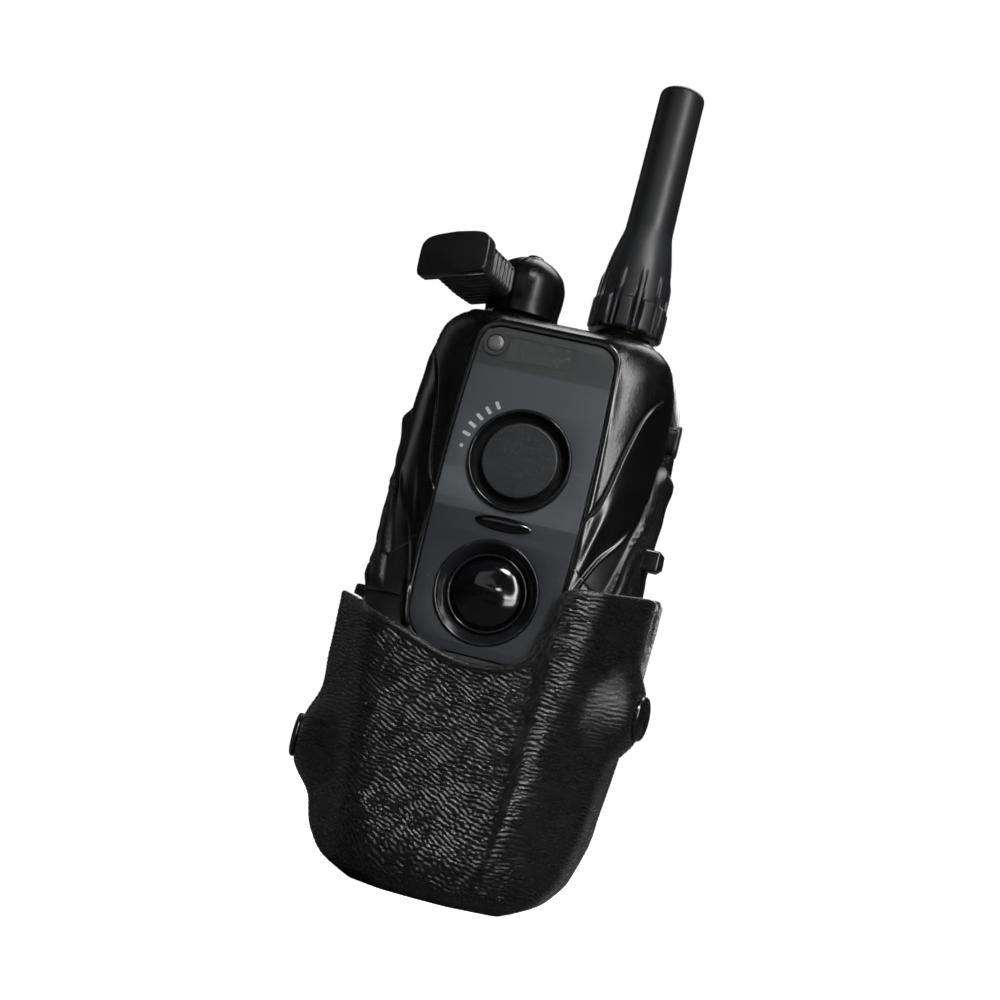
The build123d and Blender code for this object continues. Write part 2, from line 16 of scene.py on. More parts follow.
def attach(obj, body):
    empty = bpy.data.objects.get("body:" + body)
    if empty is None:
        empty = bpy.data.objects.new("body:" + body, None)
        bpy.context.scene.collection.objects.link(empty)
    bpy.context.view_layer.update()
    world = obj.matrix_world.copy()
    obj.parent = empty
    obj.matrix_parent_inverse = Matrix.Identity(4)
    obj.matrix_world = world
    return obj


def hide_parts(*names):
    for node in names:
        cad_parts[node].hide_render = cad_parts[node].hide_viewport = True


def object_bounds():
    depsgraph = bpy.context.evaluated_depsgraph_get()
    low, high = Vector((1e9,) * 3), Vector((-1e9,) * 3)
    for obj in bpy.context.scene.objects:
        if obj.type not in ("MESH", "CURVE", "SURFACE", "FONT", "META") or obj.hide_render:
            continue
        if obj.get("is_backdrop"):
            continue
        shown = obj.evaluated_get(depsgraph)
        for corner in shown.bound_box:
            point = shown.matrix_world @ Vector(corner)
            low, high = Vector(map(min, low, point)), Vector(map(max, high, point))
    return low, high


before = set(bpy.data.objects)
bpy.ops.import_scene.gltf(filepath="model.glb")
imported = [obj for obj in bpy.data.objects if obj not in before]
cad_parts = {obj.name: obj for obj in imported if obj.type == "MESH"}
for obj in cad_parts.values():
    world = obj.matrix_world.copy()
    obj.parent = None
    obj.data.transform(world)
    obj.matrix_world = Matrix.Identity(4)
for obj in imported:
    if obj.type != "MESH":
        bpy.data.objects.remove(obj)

log = logging.getLogger("transmitter")
MM = 0.001
Colour = tuple[float, float, float]
Place = tuple[float, float, float]
Line = tuple[tuple[float, float], ...]
Faces = list[list[int]]
Socket = bpy.types.NodeSocket
Relief = Callable[[np.ndarray], np.ndarray]


class Body(Enum):
    """The bodies that pieces ride on."""

    HOLSTER = "holster"
    TRANSMITTER = "transmitter"
    PAGER_KEY = "pager_key"
    LOWER_KEY = "lower_key"
    SIDE_KEY = "side_key"
    CHARGE_COVER = "charge_cover"
    LEVEL_DIAL = "level_dial"
    ANTENNA = "antenna"


# ---------------------------------------------------------------- shaping tools
class Grain:
    """Repeatable gradient noise, for creases, ripples and moulded texture."""

    def __init__(self, seed: int) -> None:
        """Draw the lattice.

        Args:
            seed: chooses the pattern; the same seed always gives the same pattern.
        """
        source = np.random.default_rng(seed)
        self.order = source.permutation(256)
        slopes = source.normal(size=(256, 3))
        self.slopes = slopes / np.linalg.norm(slopes, axis=1, keepdims=True)

    def at(self, points: np.ndarray) -> np.ndarray:
        """Value of the noise, about -0.7 to 0.7.

        Args:
            points: places to read, one row each, with a feature about one unit wide.

        Returns:
            One value for each place.
        """
        cell = np.floor(points).astype(int)
        inside = points - cell
        ease = inside ** 3 * (inside * (inside * 6 - 15) + 10)
        total = np.zeros(len(points))
        for corner in itertools.product((0, 1), repeat=3):
            step = np.array(corner)
            at = (cell + step) & 255
            pick = self.order[(self.order[(self.order[at[:, 0]] + at[:, 1]) & 255] + at[:, 2]) & 255]
            weight = np.prod(np.where(step == 1, ease, 1 - ease), axis=1)
            total += weight * np.einsum("ij,ij->i", self.slopes[pick], inside - step)
        return total

    def layers(self, points: np.ndarray, count: int = 3) -> np.ndarray:
        """Several sizes of the noise added up, each half as large and half as strong as the last."""
        return sum(self.at(points * 2 ** layer + 17.3 * layer) / 2 ** layer for layer in range(count))


class Ripples:
    """Repeatable wavy ripples of one pitch and main direction, which fork and end as creases do."""

    size: int = 512
    cell: float = 0.25              # millimetres

    def __init__(self, seed: int, pitch: float, tilt: float, spread: float) -> None:
        """Draw the ripples on a square that repeats.

        Args:
            seed: chooses the pattern.
            pitch: distance from crest to crest, in millimetres.
            tilt: how far the crests fall to the right, in degrees.
            spread: how freely their direction wanders, in degrees.
        """
        steps = np.fft.fftfreq(self.size, self.cell)
        across, up = np.meshgrid(steps, steps, indexing="ij")
        rate = np.hypot(across, up)
        turn = np.degrees(np.arctan2(up, across)) - (90.0 - tilt)
        turn = (turn + 90.0) % 180.0 - 90.0
        keep = bell(rate - 1 / pitch, 0.3 / pitch) * bell(turn, spread)
        white = np.random.default_rng(seed).normal(size=(self.size, self.size))
        made = np.fft.ifft2(np.fft.fft2(white) * keep).real
        self.field = made / made.std()

    def at(self, across: np.ndarray, up: np.ndarray) -> np.ndarray:
        """Height of the ripples, mostly from -2 to 2, at places in millimetres."""
        x, y = (np.asarray(value) / self.cell % self.size for value in (across, up))
        low_x, low_y = np.floor(x).astype(int), np.floor(y).astype(int)
        part_x, part_y = x - low_x, y - low_y
        total = np.zeros(np.shape(x))
        for step_x, step_y in itertools.product((0, 1), repeat=2):
            weight = (part_x if step_x else 1 - part_x) * (part_y if step_y else 1 - part_y)
            total += weight * self.field[(low_x + step_x) % self.size, (low_y + step_y) % self.size]
        return total


def smooth_step(value: np.ndarray, low: float, high: float) -> np.ndarray:
    """Ease from 0 at low to 1 at high."""
    t = np.clip((value - low) / (high - low), 0, 1)
    return t * t * (3 - 2 * t)


def bell(value: np.ndarray, width: float) -> np.ndarray:
    """A rounded bump, 1 at zero and gone at about twice the width."""
    return np.exp(-((value / width) ** 2))


def soften(points: Sequence[tuple[float, float]], radius: float, pieces: int = 5) -> np.ndarray:
    """Round every inner corner of a profile.

    Args:
        points: the profile's corners, in order.
        radius: how far from a corner its rounding starts.
        pieces: how many steps each rounding takes.

    Returns:
        The rounded profile, one row for each point.
    """
    corners = np.array(points, float)
    made = [corners[0]]
    for before, here, after in zip(corners, corners[1:], corners[2:]):
        back, on = before - here, after - here
        reach = min(radius, 0.45 * np.linalg.norm(back), 0.45 * np.linalg.norm(on))
        start = here + back / np.linalg.norm(back) * reach
        stop = here + on / np.linalg.norm(on) * reach
        for t in np.linspace(0, 1, pieces):
            made.append((1 - t) ** 2 * start + 2 * t * (1 - t) * here + t * t * stop)
    made.append(corners[-1])
    return np.array(made)


def refine(line: np.ndarray, longest: float) -> np.ndarray:
    """Divide a line's runs until none is longer than asked.

    Args:
        line: the line's points, one row each.
        longest: the longest run allowed.

    Returns:
        The line with its added points.
    """
    made = [line[0]]
    for start, stop in zip(line, line[1:]):
        count = max(1, math.ceil(np.linalg.norm(stop - start) / longest))
        made.extend(start + (stop - start) * (k + 1) / count for k in range(count))
    return np.array(made)


def curve_through(knots: Sequence[Sequence[float]], count: int) -> np.ndarray:
    """A smooth curve through points, without overshoot between close ones.

    Args:
        knots: points on the curve, one row each.
        count: how many points to return, evenly along the curve.

    Returns:
        The curve's points.
    """
    given = np.array(knots, float)
    padded = np.vstack([2 * given[0] - given[1], given, 2 * given[-1] - given[-2]])
    made = []
    for a, b, c, d in zip(padded, padded[1:], padded[2:], padded[3:]):
        for t in np.linspace(0, 1, 24, endpoint=False):
            made.append(0.5 * (2 * b + (c - a) * t + (2 * a - 5 * b + 4 * c - d) * t ** 2
                               + (3 * b - a - 3 * c + d) * t ** 3))
    line = np.array(made + [given[-1]])
    run = run_along(line)
    wanted = np.linspace(0, run[-1], count)
    return np.stack([np.interp(wanted, run, line[:, k]) for k in range(line.shape[1])], axis=1)


def run_along(line: np.ndarray) -> np.ndarray:
    """Distance travelled along a line at each of its points."""
    return np.concatenate([[0], np.cumsum(np.linalg.norm(np.diff(line, axis=0), axis=1))])


def mirrored(line: np.ndarray) -> np.ndarray:
    """A right-hand line of (X, other) followed by its mirror image, back to the start."""
    return np.vstack([line, (line * (-1, 1))[::-1]])


def distance_to_line(points: np.ndarray, line: np.ndarray) -> np.ndarray:
    """Distance from each point to a line made of short runs.

    Args:
        points: places, one row each.
        line: the line's points, one row each, in the same number of dimensions.

    Returns:
        One distance for each place.
    """
    nearest = np.full(len(points), 1e9)
    for start, stop in zip(line, line[1:]):
        run = stop - start
        along = np.clip((points - start) @ run / (run @ run), 0, 1)
        nearest = np.minimum(nearest, np.linalg.norm(points - start - along[:, None] * run, axis=1))
    return nearest


def grid_normals(points: np.ndarray, wrap_rows: bool, wrap_columns: bool) -> np.ndarray:
    """Unit normals of a grid of points.

    Args:
        points: rows by columns by 3.
        wrap_rows: the last row meets the first.
        wrap_columns: the last column meets the first.

    Returns:
        Normals in the same layout, outwards if columns turn anticlockwise seen from the last row's side.
    """
    def slope(axis: int, wrap: bool) -> np.ndarray:
        """Difference between each point's two neighbours."""
        if wrap:
            return np.roll(points, -1, axis) - np.roll(points, 1, axis)
        return np.gradient(points, axis=axis)

    normal = np.cross(slope(1, wrap_columns), slope(0, wrap_rows))
    size = np.linalg.norm(normal, axis=2, keepdims=True)
    return normal / np.maximum(size, 1e-9)


def grid_faces(rows: int, columns: int, wrap_rows: bool = False, wrap_columns: bool = True) -> Faces:
    """Four-sided faces of a grid of points numbered row by row.

    Args:
        rows: number of rows.
        columns: number of points in a row.
        wrap_rows: join the last row to the first.
        wrap_columns: join the last column to the first.

    Returns:
        The faces' corner numbers.
    """
    row = np.arange(rows if wrap_rows else rows - 1)[:, None]
    column = np.arange(columns if wrap_columns else columns - 1)[None, :]
    next_row, next_column = (row + 1) % rows, (column + 1) % columns
    corners = [row * columns + column, row * columns + next_column,
               next_row * columns + next_column, next_row * columns + column]
    shape = (row.size, column.size)
    return np.stack([np.broadcast_to(c, shape) for c in corners], axis=-1).reshape(-1, 4).tolist()


def capped_faces(rows: int, columns: int) -> Faces:
    """Faces of a tube of points numbered row by row, with both ends closed.

    Args:
        rows: number of rows.
        columns: number of points in a row.

    Returns:
        The faces' corner numbers.
    """
    faces = grid_faces(rows, columns)
    faces.append(list(range(columns))[::-1])
    faces.append([(rows - 1) * columns + k for k in range(columns)])
    return faces


def add_piece(name: str, points: np.ndarray, faces: Faces, finish: "Finish", body: Body,
              replaces: Sequence[str] = (), marks: dict[str, np.ndarray] | None = None,
              sharp_angle: float = 50.0) -> bpy.types.Object:
    """Make one visible piece from points in millimetres.

    Args:
        name: the piece's name.
        points: its points, one row each.
        faces: its faces' corner numbers.
        finish: what it is dressed in.
        body: what it rides on.
        replaces: the design's parts that it stands for.
        marks: values from 0 to 1 at each point that the finish reads by name.
        sharp_angle: edges that turn more than this many degrees stay crisp.

    Returns:
        The new object.
    """
    mesh = bpy.data.meshes.new(name)
    mesh.from_pydata((points.reshape(-1, 3) * MM).tolist(), [], faces)
    mesh.validate()
    for label, values in (marks or {}).items():
        stored = mesh.attributes.new(label, "FLOAT", "POINT")
        stored.data.foreach_set("value", values.astype(np.float32).ravel())
    weld = bmesh.new()
    weld.from_mesh(mesh)
    bmesh.ops.remove_doubles(weld, verts=weld.verts, dist=1e-7)
    bmesh.ops.recalc_face_normals(weld, faces=weld.faces)
    weld.to_mesh(mesh)
    weld.free()
    mesh.update()
    piece = bpy.data.objects.new(name, mesh)
    bpy.context.scene.collection.objects.link(piece)
    mesh.shade_smooth()
    mesh.set_sharp_from_angle(angle=math.radians(sharp_angle))
    mesh.materials.append(finish.material())
    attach(piece, body.value)
    if replaces:
        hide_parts(*replaces)
    log.info("made %s, %d faces", name, len(mesh.polygons))
    return piece


@dataclass
class Shape:
    """Points and faces that are gathered before a piece is made."""

    points: list[np.ndarray] = field(default_factory=list)
    faces: Faces = field(default_factory=list)
    count: int = 0

    def take(self, points: np.ndarray, faces: Faces) -> "Shape":
        """Add a closed surface.

        Args:
            points: its points, in any layout that ends in 3.
            faces: its faces, numbered from its own first point.

        Returns:
            This shape, for more.
        """
        flat = points.reshape(-1, 3)
        self.points.append(flat)
        self.faces.extend([[k + self.count for k in face] for face in faces])
        self.count += len(flat)
        return self

    def all_points(self) -> np.ndarray:
        """Every point, one row each."""
        return np.vstack(self.points)

    def piece(self, name: str, finish: "Finish", body: Body, slot: str, *replaces: str,
              sharp_angle: float = 50.0) -> None:
        """Make the piece, with the same arguments as add_piece."""
        add_piece(name, self.all_points(), self.faces, finish, body, replaces, sharp_angle=sharp_angle)


@dataclass
class Axis:
    """A place and three square directions, for turned and swept shapes."""

    origin: Place
    along: Place = (0.0, 0.0, 1.0)
    side: Place = (1.0, 0.0, 0.0)

    def frame(self) -> tuple[np.ndarray, np.ndarray, np.ndarray, np.ndarray]:
        """Origin, side, up and along, with up square to the other two and the three right-handed."""
        along = np.array(self.along, float) / np.linalg.norm(self.along)
        side = np.array(self.side, float) - along * np.dot(self.side, along)
        side /= np.linalg.norm(side)
        return np.array(self.origin, float), side, np.cross(along, side), along


def turned(axis: Axis, profile: np.ndarray, steps: int = 96, relief: Relief | None = None) -> Shape:
    """Turn a profile round an axis, closed at both ends.

    Args:
        axis: the middle line.
        profile: rows of (radius, distance along), from one end to the other.
        steps: points round the axis.
        relief: change of radius from rows of (radius, distance along, angle), or nothing.

    Returns:
        The closed surface.
    """
    origin, side, up, along = axis.frame()
    angle = np.linspace(0, 2 * math.pi, steps, endpoint=False)
    radius, run = (np.repeat(profile[:, k][:, None], steps, axis=1) for k in (0, 1))
    turn = np.repeat(angle[None, :], len(profile), axis=0)
    if relief is not None:
        radius = radius + relief(np.stack([radius, run, turn], axis=-1))
    radius = np.maximum(radius, 0.0)
    grid = (origin + radius[..., None] * (np.cos(turn)[..., None] * side + np.sin(turn)[..., None] * up)
            + run[..., None] * along)
    rows, forwards = len(profile), profile[-1, 1] >= profile[0, 1]
    faces = grid_faces(rows, steps)
    ends = np.array([origin + along * profile[0, 1], origin + along * profile[-1, 1]])
    first, last = rows * steps, rows * steps + 1
    for k in range(steps):
        after = (k + 1) % steps
        faces.append([first, after, k])
        faces.append([last, (rows - 1) * steps + k, (rows - 1) * steps + after])
    if not forwards:
        faces = [face[::-1] for face in faces]
    return Shape().take(np.vstack([grid.reshape(-1, 3), ends]), faces)


def rounded_outline(wide: float, high: float, radius: float, steps: int = 6,
                    crown: float = 0.0) -> np.ndarray:
    """A rounded rectangle about the origin, its top bowed up by a crown.

    Args:
        wide: width.
        high: height at the sides.
        radius: corner radius.
        steps: points in each corner.
        crown: how much higher the top's middle is than its ends.

    Returns:
        The outline's points, anticlockwise.
    """
    middle_x, middle_y = wide / 2 - radius, high / 2 - radius
    made = []
    for quarter, (x, y) in enumerate(((1, 1), (-1, 1), (-1, -1), (1, -1))):
        for t in np.linspace(0, 1, steps):
            turn = (quarter + t) * math.pi / 2
            made.append((x * middle_x + radius * math.cos(turn), y * middle_y + radius * math.sin(turn)))
    ring = np.array(made)
    longest = max(0.3, (2 * wide + 2 * high) / 90)
    ring = refine(np.vstack([ring, ring[:1]]), longest)[:-1]
    ring[:, 1] += crown * np.where(ring[:, 1] > 0, 1 - (2 * ring[:, 0] / wide) ** 2, 0)
    return ring


def swept(axis: Axis, stations: Sequence[Place], outline: np.ndarray) -> Shape:
    """Sweep one outline along an axis, closed at both ends.

    Args:
        axis: the line through the outline's middle.
        stations: rows of (distance along, width taken off each side, height taken off each side).
        outline: the outline's points, anticlockwise.

    Returns:
        The closed surface.
    """
    origin, side, up, along = axis.frame()
    wide, high = np.ptp(outline[:, 0]), np.ptp(outline[:, 1])
    rows = []
    for distance, off_wide, off_high in stations:
        scaled = outline * (1 - 2 * off_wide / wide, 1 - 2 * off_high / high)
        rows.append(origin + scaled[:, :1] * side + scaled[:, 1:] * up + distance * along)
    grid = np.stack(rows)
    return Shape().take(grid, capped_faces(*grid.shape[:2]))


# ---------------------------------------------------------------- finishes
class Bench:
    """A material's nodes, wired by short calls."""

    def __init__(self, name: str) -> None:
        """Start a material that has a surface shader and nothing else."""
        self.material = bpy.data.materials.new(name)
        self.material.use_nodes = True
        self.tree = self.material.node_tree
        self.tree.nodes.clear()
        self.out = self.tree.nodes.new("ShaderNodeOutputMaterial")
        self.shader = self.tree.nodes.new("ShaderNodeBsdfPrincipled")
        self.tree.links.new(self.shader.outputs["BSDF"], self.out.inputs["Surface"])
        self.place = self.tree.nodes.new("ShaderNodeTexCoord").outputs["Object"]

    def join(self, source: Socket, node: bpy.types.Node, name: str | int) -> None:
        """Wire a socket into a node's input."""
        self.tree.links.new(source, node.inputs[name])

    def stretched(self, stretch: Colour) -> Socket:
        """Coordinates in millimetres, divided by a size in each direction."""
        node = self.tree.nodes.new("ShaderNodeMapping")
        node.vector_type = "POINT"
        node.inputs["Scale"].default_value = [1 / (MM * size) for size in stretch]
        self.join(self.place, node, "Vector")
        return node.outputs["Vector"]

    def noise(self, stretch: Colour, detail: float = 3.0, twist: float = 0.0) -> Socket:
        """Cloudy noise with features of a size in millimetres in each direction."""
        node = self.tree.nodes.new("ShaderNodeTexNoise")
        node.inputs["Scale"].default_value = 1.0
        node.inputs["Detail"].default_value = detail
        node.inputs["Distortion"].default_value = twist
        self.join(self.stretched(stretch), node, "Vector")
        return node.outputs["Fac"]

    def cells(self, stretch: Colour) -> Socket:
        """Distance to the edges of random cells of a size in millimetres."""
        node = self.tree.nodes.new("ShaderNodeTexVoronoi")
        node.feature = "DISTANCE_TO_EDGE"
        node.inputs["Scale"].default_value = 1.0
        self.join(self.stretched(stretch), node, "Vector")
        return node.outputs["Distance"]

    def mark(self, label: str) -> Socket:
        """A value stored on the mesh under a label."""
        node = self.tree.nodes.new("ShaderNodeAttribute")
        node.attribute_name = label
        return node.outputs["Fac"]

    def range(self, source: Socket, low: float, high: float, start: float,
              stop: float) -> Socket:
        """Map a value that runs from low to high onto start to stop, and clamp it."""
        node = self.tree.nodes.new("ShaderNodeMapRange")
        for name, value in (("From Min", low), ("From Max", high), ("To Min", start), ("To Max", stop)):
            node.inputs[name].default_value = value
        self.join(source, node, "Value")
        return node.outputs["Result"]

    def maths(self, operation: str, first: Socket,
              second: Socket | float) -> Socket:
        """Combine two values, such as MULTIPLY or ADD."""
        node = self.tree.nodes.new("ShaderNodeMath")
        node.operation = operation
        self.join(first, node, 0)
        if isinstance(second, float):
            node.inputs[1].default_value = second
        else:
            self.join(second, node, 1)
        return node.outputs[0]

    def blend(self, factor: Socket, first: Colour | Socket,
              second: Colour | Socket) -> Socket:
        """Go from the first colour to the second by a factor."""
        node = self.tree.nodes.new("ShaderNodeMix")
        node.data_type = "RGBA"
        self.join(factor, node, "Factor")
        for index, colour in ((6, first), (7, second)):
            if isinstance(colour, tuple):
                node.inputs[index].default_value = (*colour, 1.0)
            else:
                self.tree.links.new(colour, node.inputs[index])
        return node.outputs[2]

    def height_at(self) -> Socket:
        """The height in metres of the point that is being shaded, in the object's own frame."""
        node = self.tree.nodes.new("ShaderNodeSeparateXYZ")
        self.join(self.place, node, 0)
        return node.outputs["Z"]

    def edges(self) -> Socket:
        """About 0.5 on flats and more on outer edges."""
        return self.tree.nodes.new("ShaderNodeNewGeometry").outputs["Pointiness"]

    def bump(self, height: Socket, depth_mm: float,
             under: Socket | None = None) -> Socket:
        """A bump whose height of 1 stands for a depth in millimetres."""
        node = self.tree.nodes.new("ShaderNodeBump")
        node.inputs["Distance"].default_value = depth_mm * MM
        self.join(height, node, "Height")
        if under is not None:
            self.join(under, node, "Normal")
        return node.outputs["Normal"]

    def drive(self, source: Socket, name: str) -> None:
        """Wire a socket into the shader."""
        self.join(source, self.shader, name)

    def set(self, **values: float | Colour) -> None:
        """Put constants on the shader's own sockets, with _ for a space."""
        for name, value in values.items():
            socket = self.shader.inputs[name.replace("_", " ")]
            socket.default_value = (*value, 1.0) if isinstance(value, tuple) else value


@dataclass(frozen=True)
class Finish:
    """A moulded, painted or machined surface: mottled colour, fine grain and lighter outer edges, partly wear
    and partly painted edge highlight.
    """

    name: str
    colour: Colour
    roughness: float = 0.4
    mottle: float = 0.3             # share by which the colour drifts
    mottle_mm: float = 7.0
    grain_mm: Colour = (0.25, 0.25, 0.25)
    grain_depth: float = 0.012      # millimetres
    spread: float = 0.1             # drift of the roughness
    wear_and_edge_highlight: float = 0.5               # how much lighter outer edges are, partly wear and partly painted edge highlight
    metal: float = 0.0
    coat: float = 0.0
    specular: float = 0.5

    def material(self) -> bpy.types.Material:
        """The finish's material, made once."""
        found = bpy.data.materials.get(self.name)
        if found:
            return found
        bench = Bench(self.name)
        self.dress(bench)
        return bench.material

    def base(self, bench: Bench) -> Socket:
        """Mottled colour with lighter outer edges, partly wear and partly painted edge highlight."""
        drift = bench.noise((self.mottle_mm,) * 3, 4.0)
        dark = tuple(c * (1 - self.mottle) for c in self.colour)
        light = tuple(min(1.0, c * (1 + self.mottle)) for c in self.colour)
        colour = bench.blend(bench.range(drift, 0.35, 0.65, 0.0, 1.0), dark, light)
        # partly wear, partly painted edge highlight: outer edges, found by pointiness, get a lighter colour
        rubbed_and_highlit = tuple(min(1.0, c * (1 + 2 * self.wear_and_edge_highlight) + 0.02 * self.wear_and_edge_highlight) for c in self.colour)
        return bench.blend(bench.range(bench.edges(), 0.53, 0.62, 0.0, 1.0), colour, rubbed_and_highlit)

    def gloss(self, bench: Bench, haze: Socket) -> Socket:
        """Roughness that drifts with a haze."""
        return bench.range(haze, 0.3, 0.7, self.roughness - self.spread, self.roughness + self.spread)

    def grain(self, bench: Bench) -> Socket:
        """Fine moulded grain, as a normal."""
        return bench.bump(bench.noise(self.grain_mm, 2.0), self.grain_depth)

    def dress(self, bench: Bench) -> None:
        """Wire colour, roughness and grain into the shader."""
        bench.drive(self.base(bench), "Base Color")
        haze = bench.noise((self.mottle_mm * 0.6,) * 3, 5.0, 0.4)
        low, high = max(0.03, self.roughness - self.spread), self.roughness + self.spread
        bench.drive(bench.range(haze, 0.3, 0.7, low, high), "Roughness")
        bench.drive(self.grain(bench), "Normal")
        bench.set(Metallic=self.metal, Coat_Weight=self.coat, Coat_Roughness=0.08,
                  Specular_IOR_Level=self.specular)


# near-black colour for painted shade in the casing's grooves and recesses
GROOVE_SHADE: Colour = (0.0008, 0.0008, 0.0009)


@dataclass(frozen=True)
class CasingFinish(Finish):
    """Satin moulded plastic that is grainy where the mesh is marked "grainy", with nearly black painted shade
    where it is marked "groove".
    """

    def dress(self, bench: Bench) -> None:
        """Wire the smooth and the grainy areas."""
        grainy, groove = bench.mark("grainy"), bench.mark("groove")
        # painted shade: grooves, the gap at the plate's edge, the sunken area below the fold and the plate
        # pocket go nearly black
        bench.drive(bench.blend(groove, self.base(bench), GROOVE_SHADE), "Base Color")
        haze = bench.noise((4.0, 4.0, 9.0), 5.0, 0.6)
        smooth = self.gloss(bench, haze)
        rough = bench.maths("MULTIPLY", grainy, 0.06)
        dulled = bench.maths("MAXIMUM", bench.maths("ADD", smooth, rough),
                             bench.maths("MULTIPLY", groove, 0.8))
        bench.drive(dulled, "Roughness")
        pebbles = bench.noise((0.42, 0.42, 0.42), 2.0)
        fine = self.grain(bench)
        grains = bench.bump(bench.maths("MULTIPLY", pebbles, grainy), 0.06, fine)
        bench.drive(grains, "Normal")
        bench.set(Specular_IOR_Level=self.specular, Coat_Weight=self.coat, Coat_Roughness=0.12)


@dataclass(frozen=True)
class LeatherFinish(Finish):
    """Embossed black leather: sunken creases with painted shade along their bottoms, lighter crests, and a
    paler cut edge where marked "cut".
    """

    crease_mm: Colour = (1.9, 1.9, 0.6)

    def dress(self, bench: Bench) -> None:
        """Wire creases with their painted shade, crests, pores and the cut edge."""
        crest, cut = bench.mark("crest"), bench.mark("cut")
        base = self.base(bench)
        # painted shade: where the crest mark is low, in the crease bottoms, the colour goes nearly black
        crease_shaded = bench.blend(bench.range(crest, 0.1, 0.7, 0.0, 1.0), (0.0005, 0.0005, 0.0005), base)
        drift = bench.noise((0.5, 0.5, 0.3), 3.0)
        fibre = bench.blend(bench.range(drift, 0.3, 0.7, 0.0, 1.0), (0.014, 0.0135, 0.013),
                            (0.03, 0.029, 0.028))
        bench.drive(bench.blend(cut, crease_shaded, fibre), "Base Color")
        haze = bench.noise((5.0, 5.0, 3.0), 4.0, 0.5)
        gloss = self.gloss(bench, haze)
        dull = bench.range(crest, 0.0, 0.5, 0.1, 0.0)
        bench.drive(bench.maths("ADD", gloss, dull), "Roughness")
        creases = bench.noise(self.crease_mm, 3.0, 0.7)
        pores = bench.cells((0.45, 0.45, 0.3))
        soft = bench.bump(bench.range(creases, 0.4, 0.6, 0.0, 1.0), 0.035)
        bench.drive(bench.bump(bench.range(pores, 0.0, 0.25, 0.0, 1.0), 0.02, soft), "Normal")
        bench.set(Specular_IOR_Level=self.specular, Sheen_Weight=0.04, Sheen_Roughness=0.5)


@dataclass(frozen=True)
class PlateFinish(Finish):
    """Satin grey plate whose printed tones change at two heights, with hair scratches."""

    upper: Colour = (0.027, 0.031, 0.031)
    lower: Colour = (0.02, 0.0215, 0.0245)
    upper_edge: float = 123.4       # millimetres
    lower_edge: float = 88.85

    def dress(self, bench: Bench) -> None:
        """Wire the three tones, the scratches and the dust."""
        height = bench.height_at()
        above = bench.range(height, (self.upper_edge - 0.12) * MM, (self.upper_edge + 0.12) * MM, 0.0, 1.0)
        below = bench.range(height, (self.lower_edge - 0.12) * MM, (self.lower_edge + 0.12) * MM, 1.0, 0.0)
        tone = bench.blend(below, bench.blend(above, self.base(bench), self.upper), self.lower)
        specks = bench.range(bench.noise((0.5, 0.5, 0.5), 1.0), 0.74, 0.78, 0.0, 1.0)
        bench.drive(bench.blend(specks, tone, tuple(2.2 * c for c in self.colour)), "Base Color")
        haze = bench.noise((8.0, 8.0, 5.0), 5.0, 0.5)
        bench.drive(bench.range(haze, 0.3, 0.7, self.roughness - 0.06, self.roughness + 0.08), "Roughness")
        hairs = bench.range(bench.noise((0.08, 1.0, 9.0), 1.0, 0.3), 0.62, 0.7, 0.0, 1.0)
        fine = self.grain(bench)
        bench.drive(bench.bump(hairs, 0.006, fine), "Normal")
        bench.set(Specular_IOR_Level=self.specular)


@dataclass(frozen=True)
class ScuffedFinish(Finish):
    """Satin disc with crossing scuffs and scratches from thumbs."""

    def dress(self, bench: Bench) -> None:
        """Wire the scuffs over the plain finish."""
        across = bench.range(bench.noise((5.0, 1.0, 0.16), 2.0, 0.5), 0.6, 0.68, 0.0, 1.0)
        down = bench.range(bench.noise((0.2, 1.0, 4.0), 2.0, 0.8), 0.64, 0.7, 0.0, 1.0)
        scuffs = bench.maths("MAXIMUM", across, down)
        bench.drive(bench.blend(scuffs, self.base(bench), tuple(2.0 * c for c in self.colour)), "Base Color")
        haze = bench.noise((3.5, 3.5, 2.5), 5.0, 0.8)
        gloss = self.gloss(bench, haze)
        bench.drive(bench.maths("ADD", gloss, bench.maths("MULTIPLY", scuffs, 0.12)), "Roughness")
        fine = self.grain(bench)
        bench.drive(bench.bump(scuffs, 0.012, fine), "Normal")
        bench.set(Specular_IOR_Level=self.specular, Coat_Weight=self.coat)


@dataclass(frozen=True)
class BoardFinish(Finish):
    """Green circuit board with lighter copper runs under the lacquer."""

    def dress(self, bench: Bench) -> None:
        """Wire the runs and the lacquer."""
        runs = bench.range(bench.cells((2.2, 5.0, 3.1)), 0.05, 0.09, 1.0, 0.0)
        bench.drive(bench.blend(runs, self.base(bench), (0.05, 0.16, 0.05)), "Base Color")
        bench.drive(bench.range(bench.noise((3.0, 3.0, 3.0), 3.0), 0.3, 0.7, 0.25, 0.4), "Roughness")
        bench.drive(bench.bump(runs, 0.03), "Normal")
        bench.set(Specular_IOR_Level=self.specular)


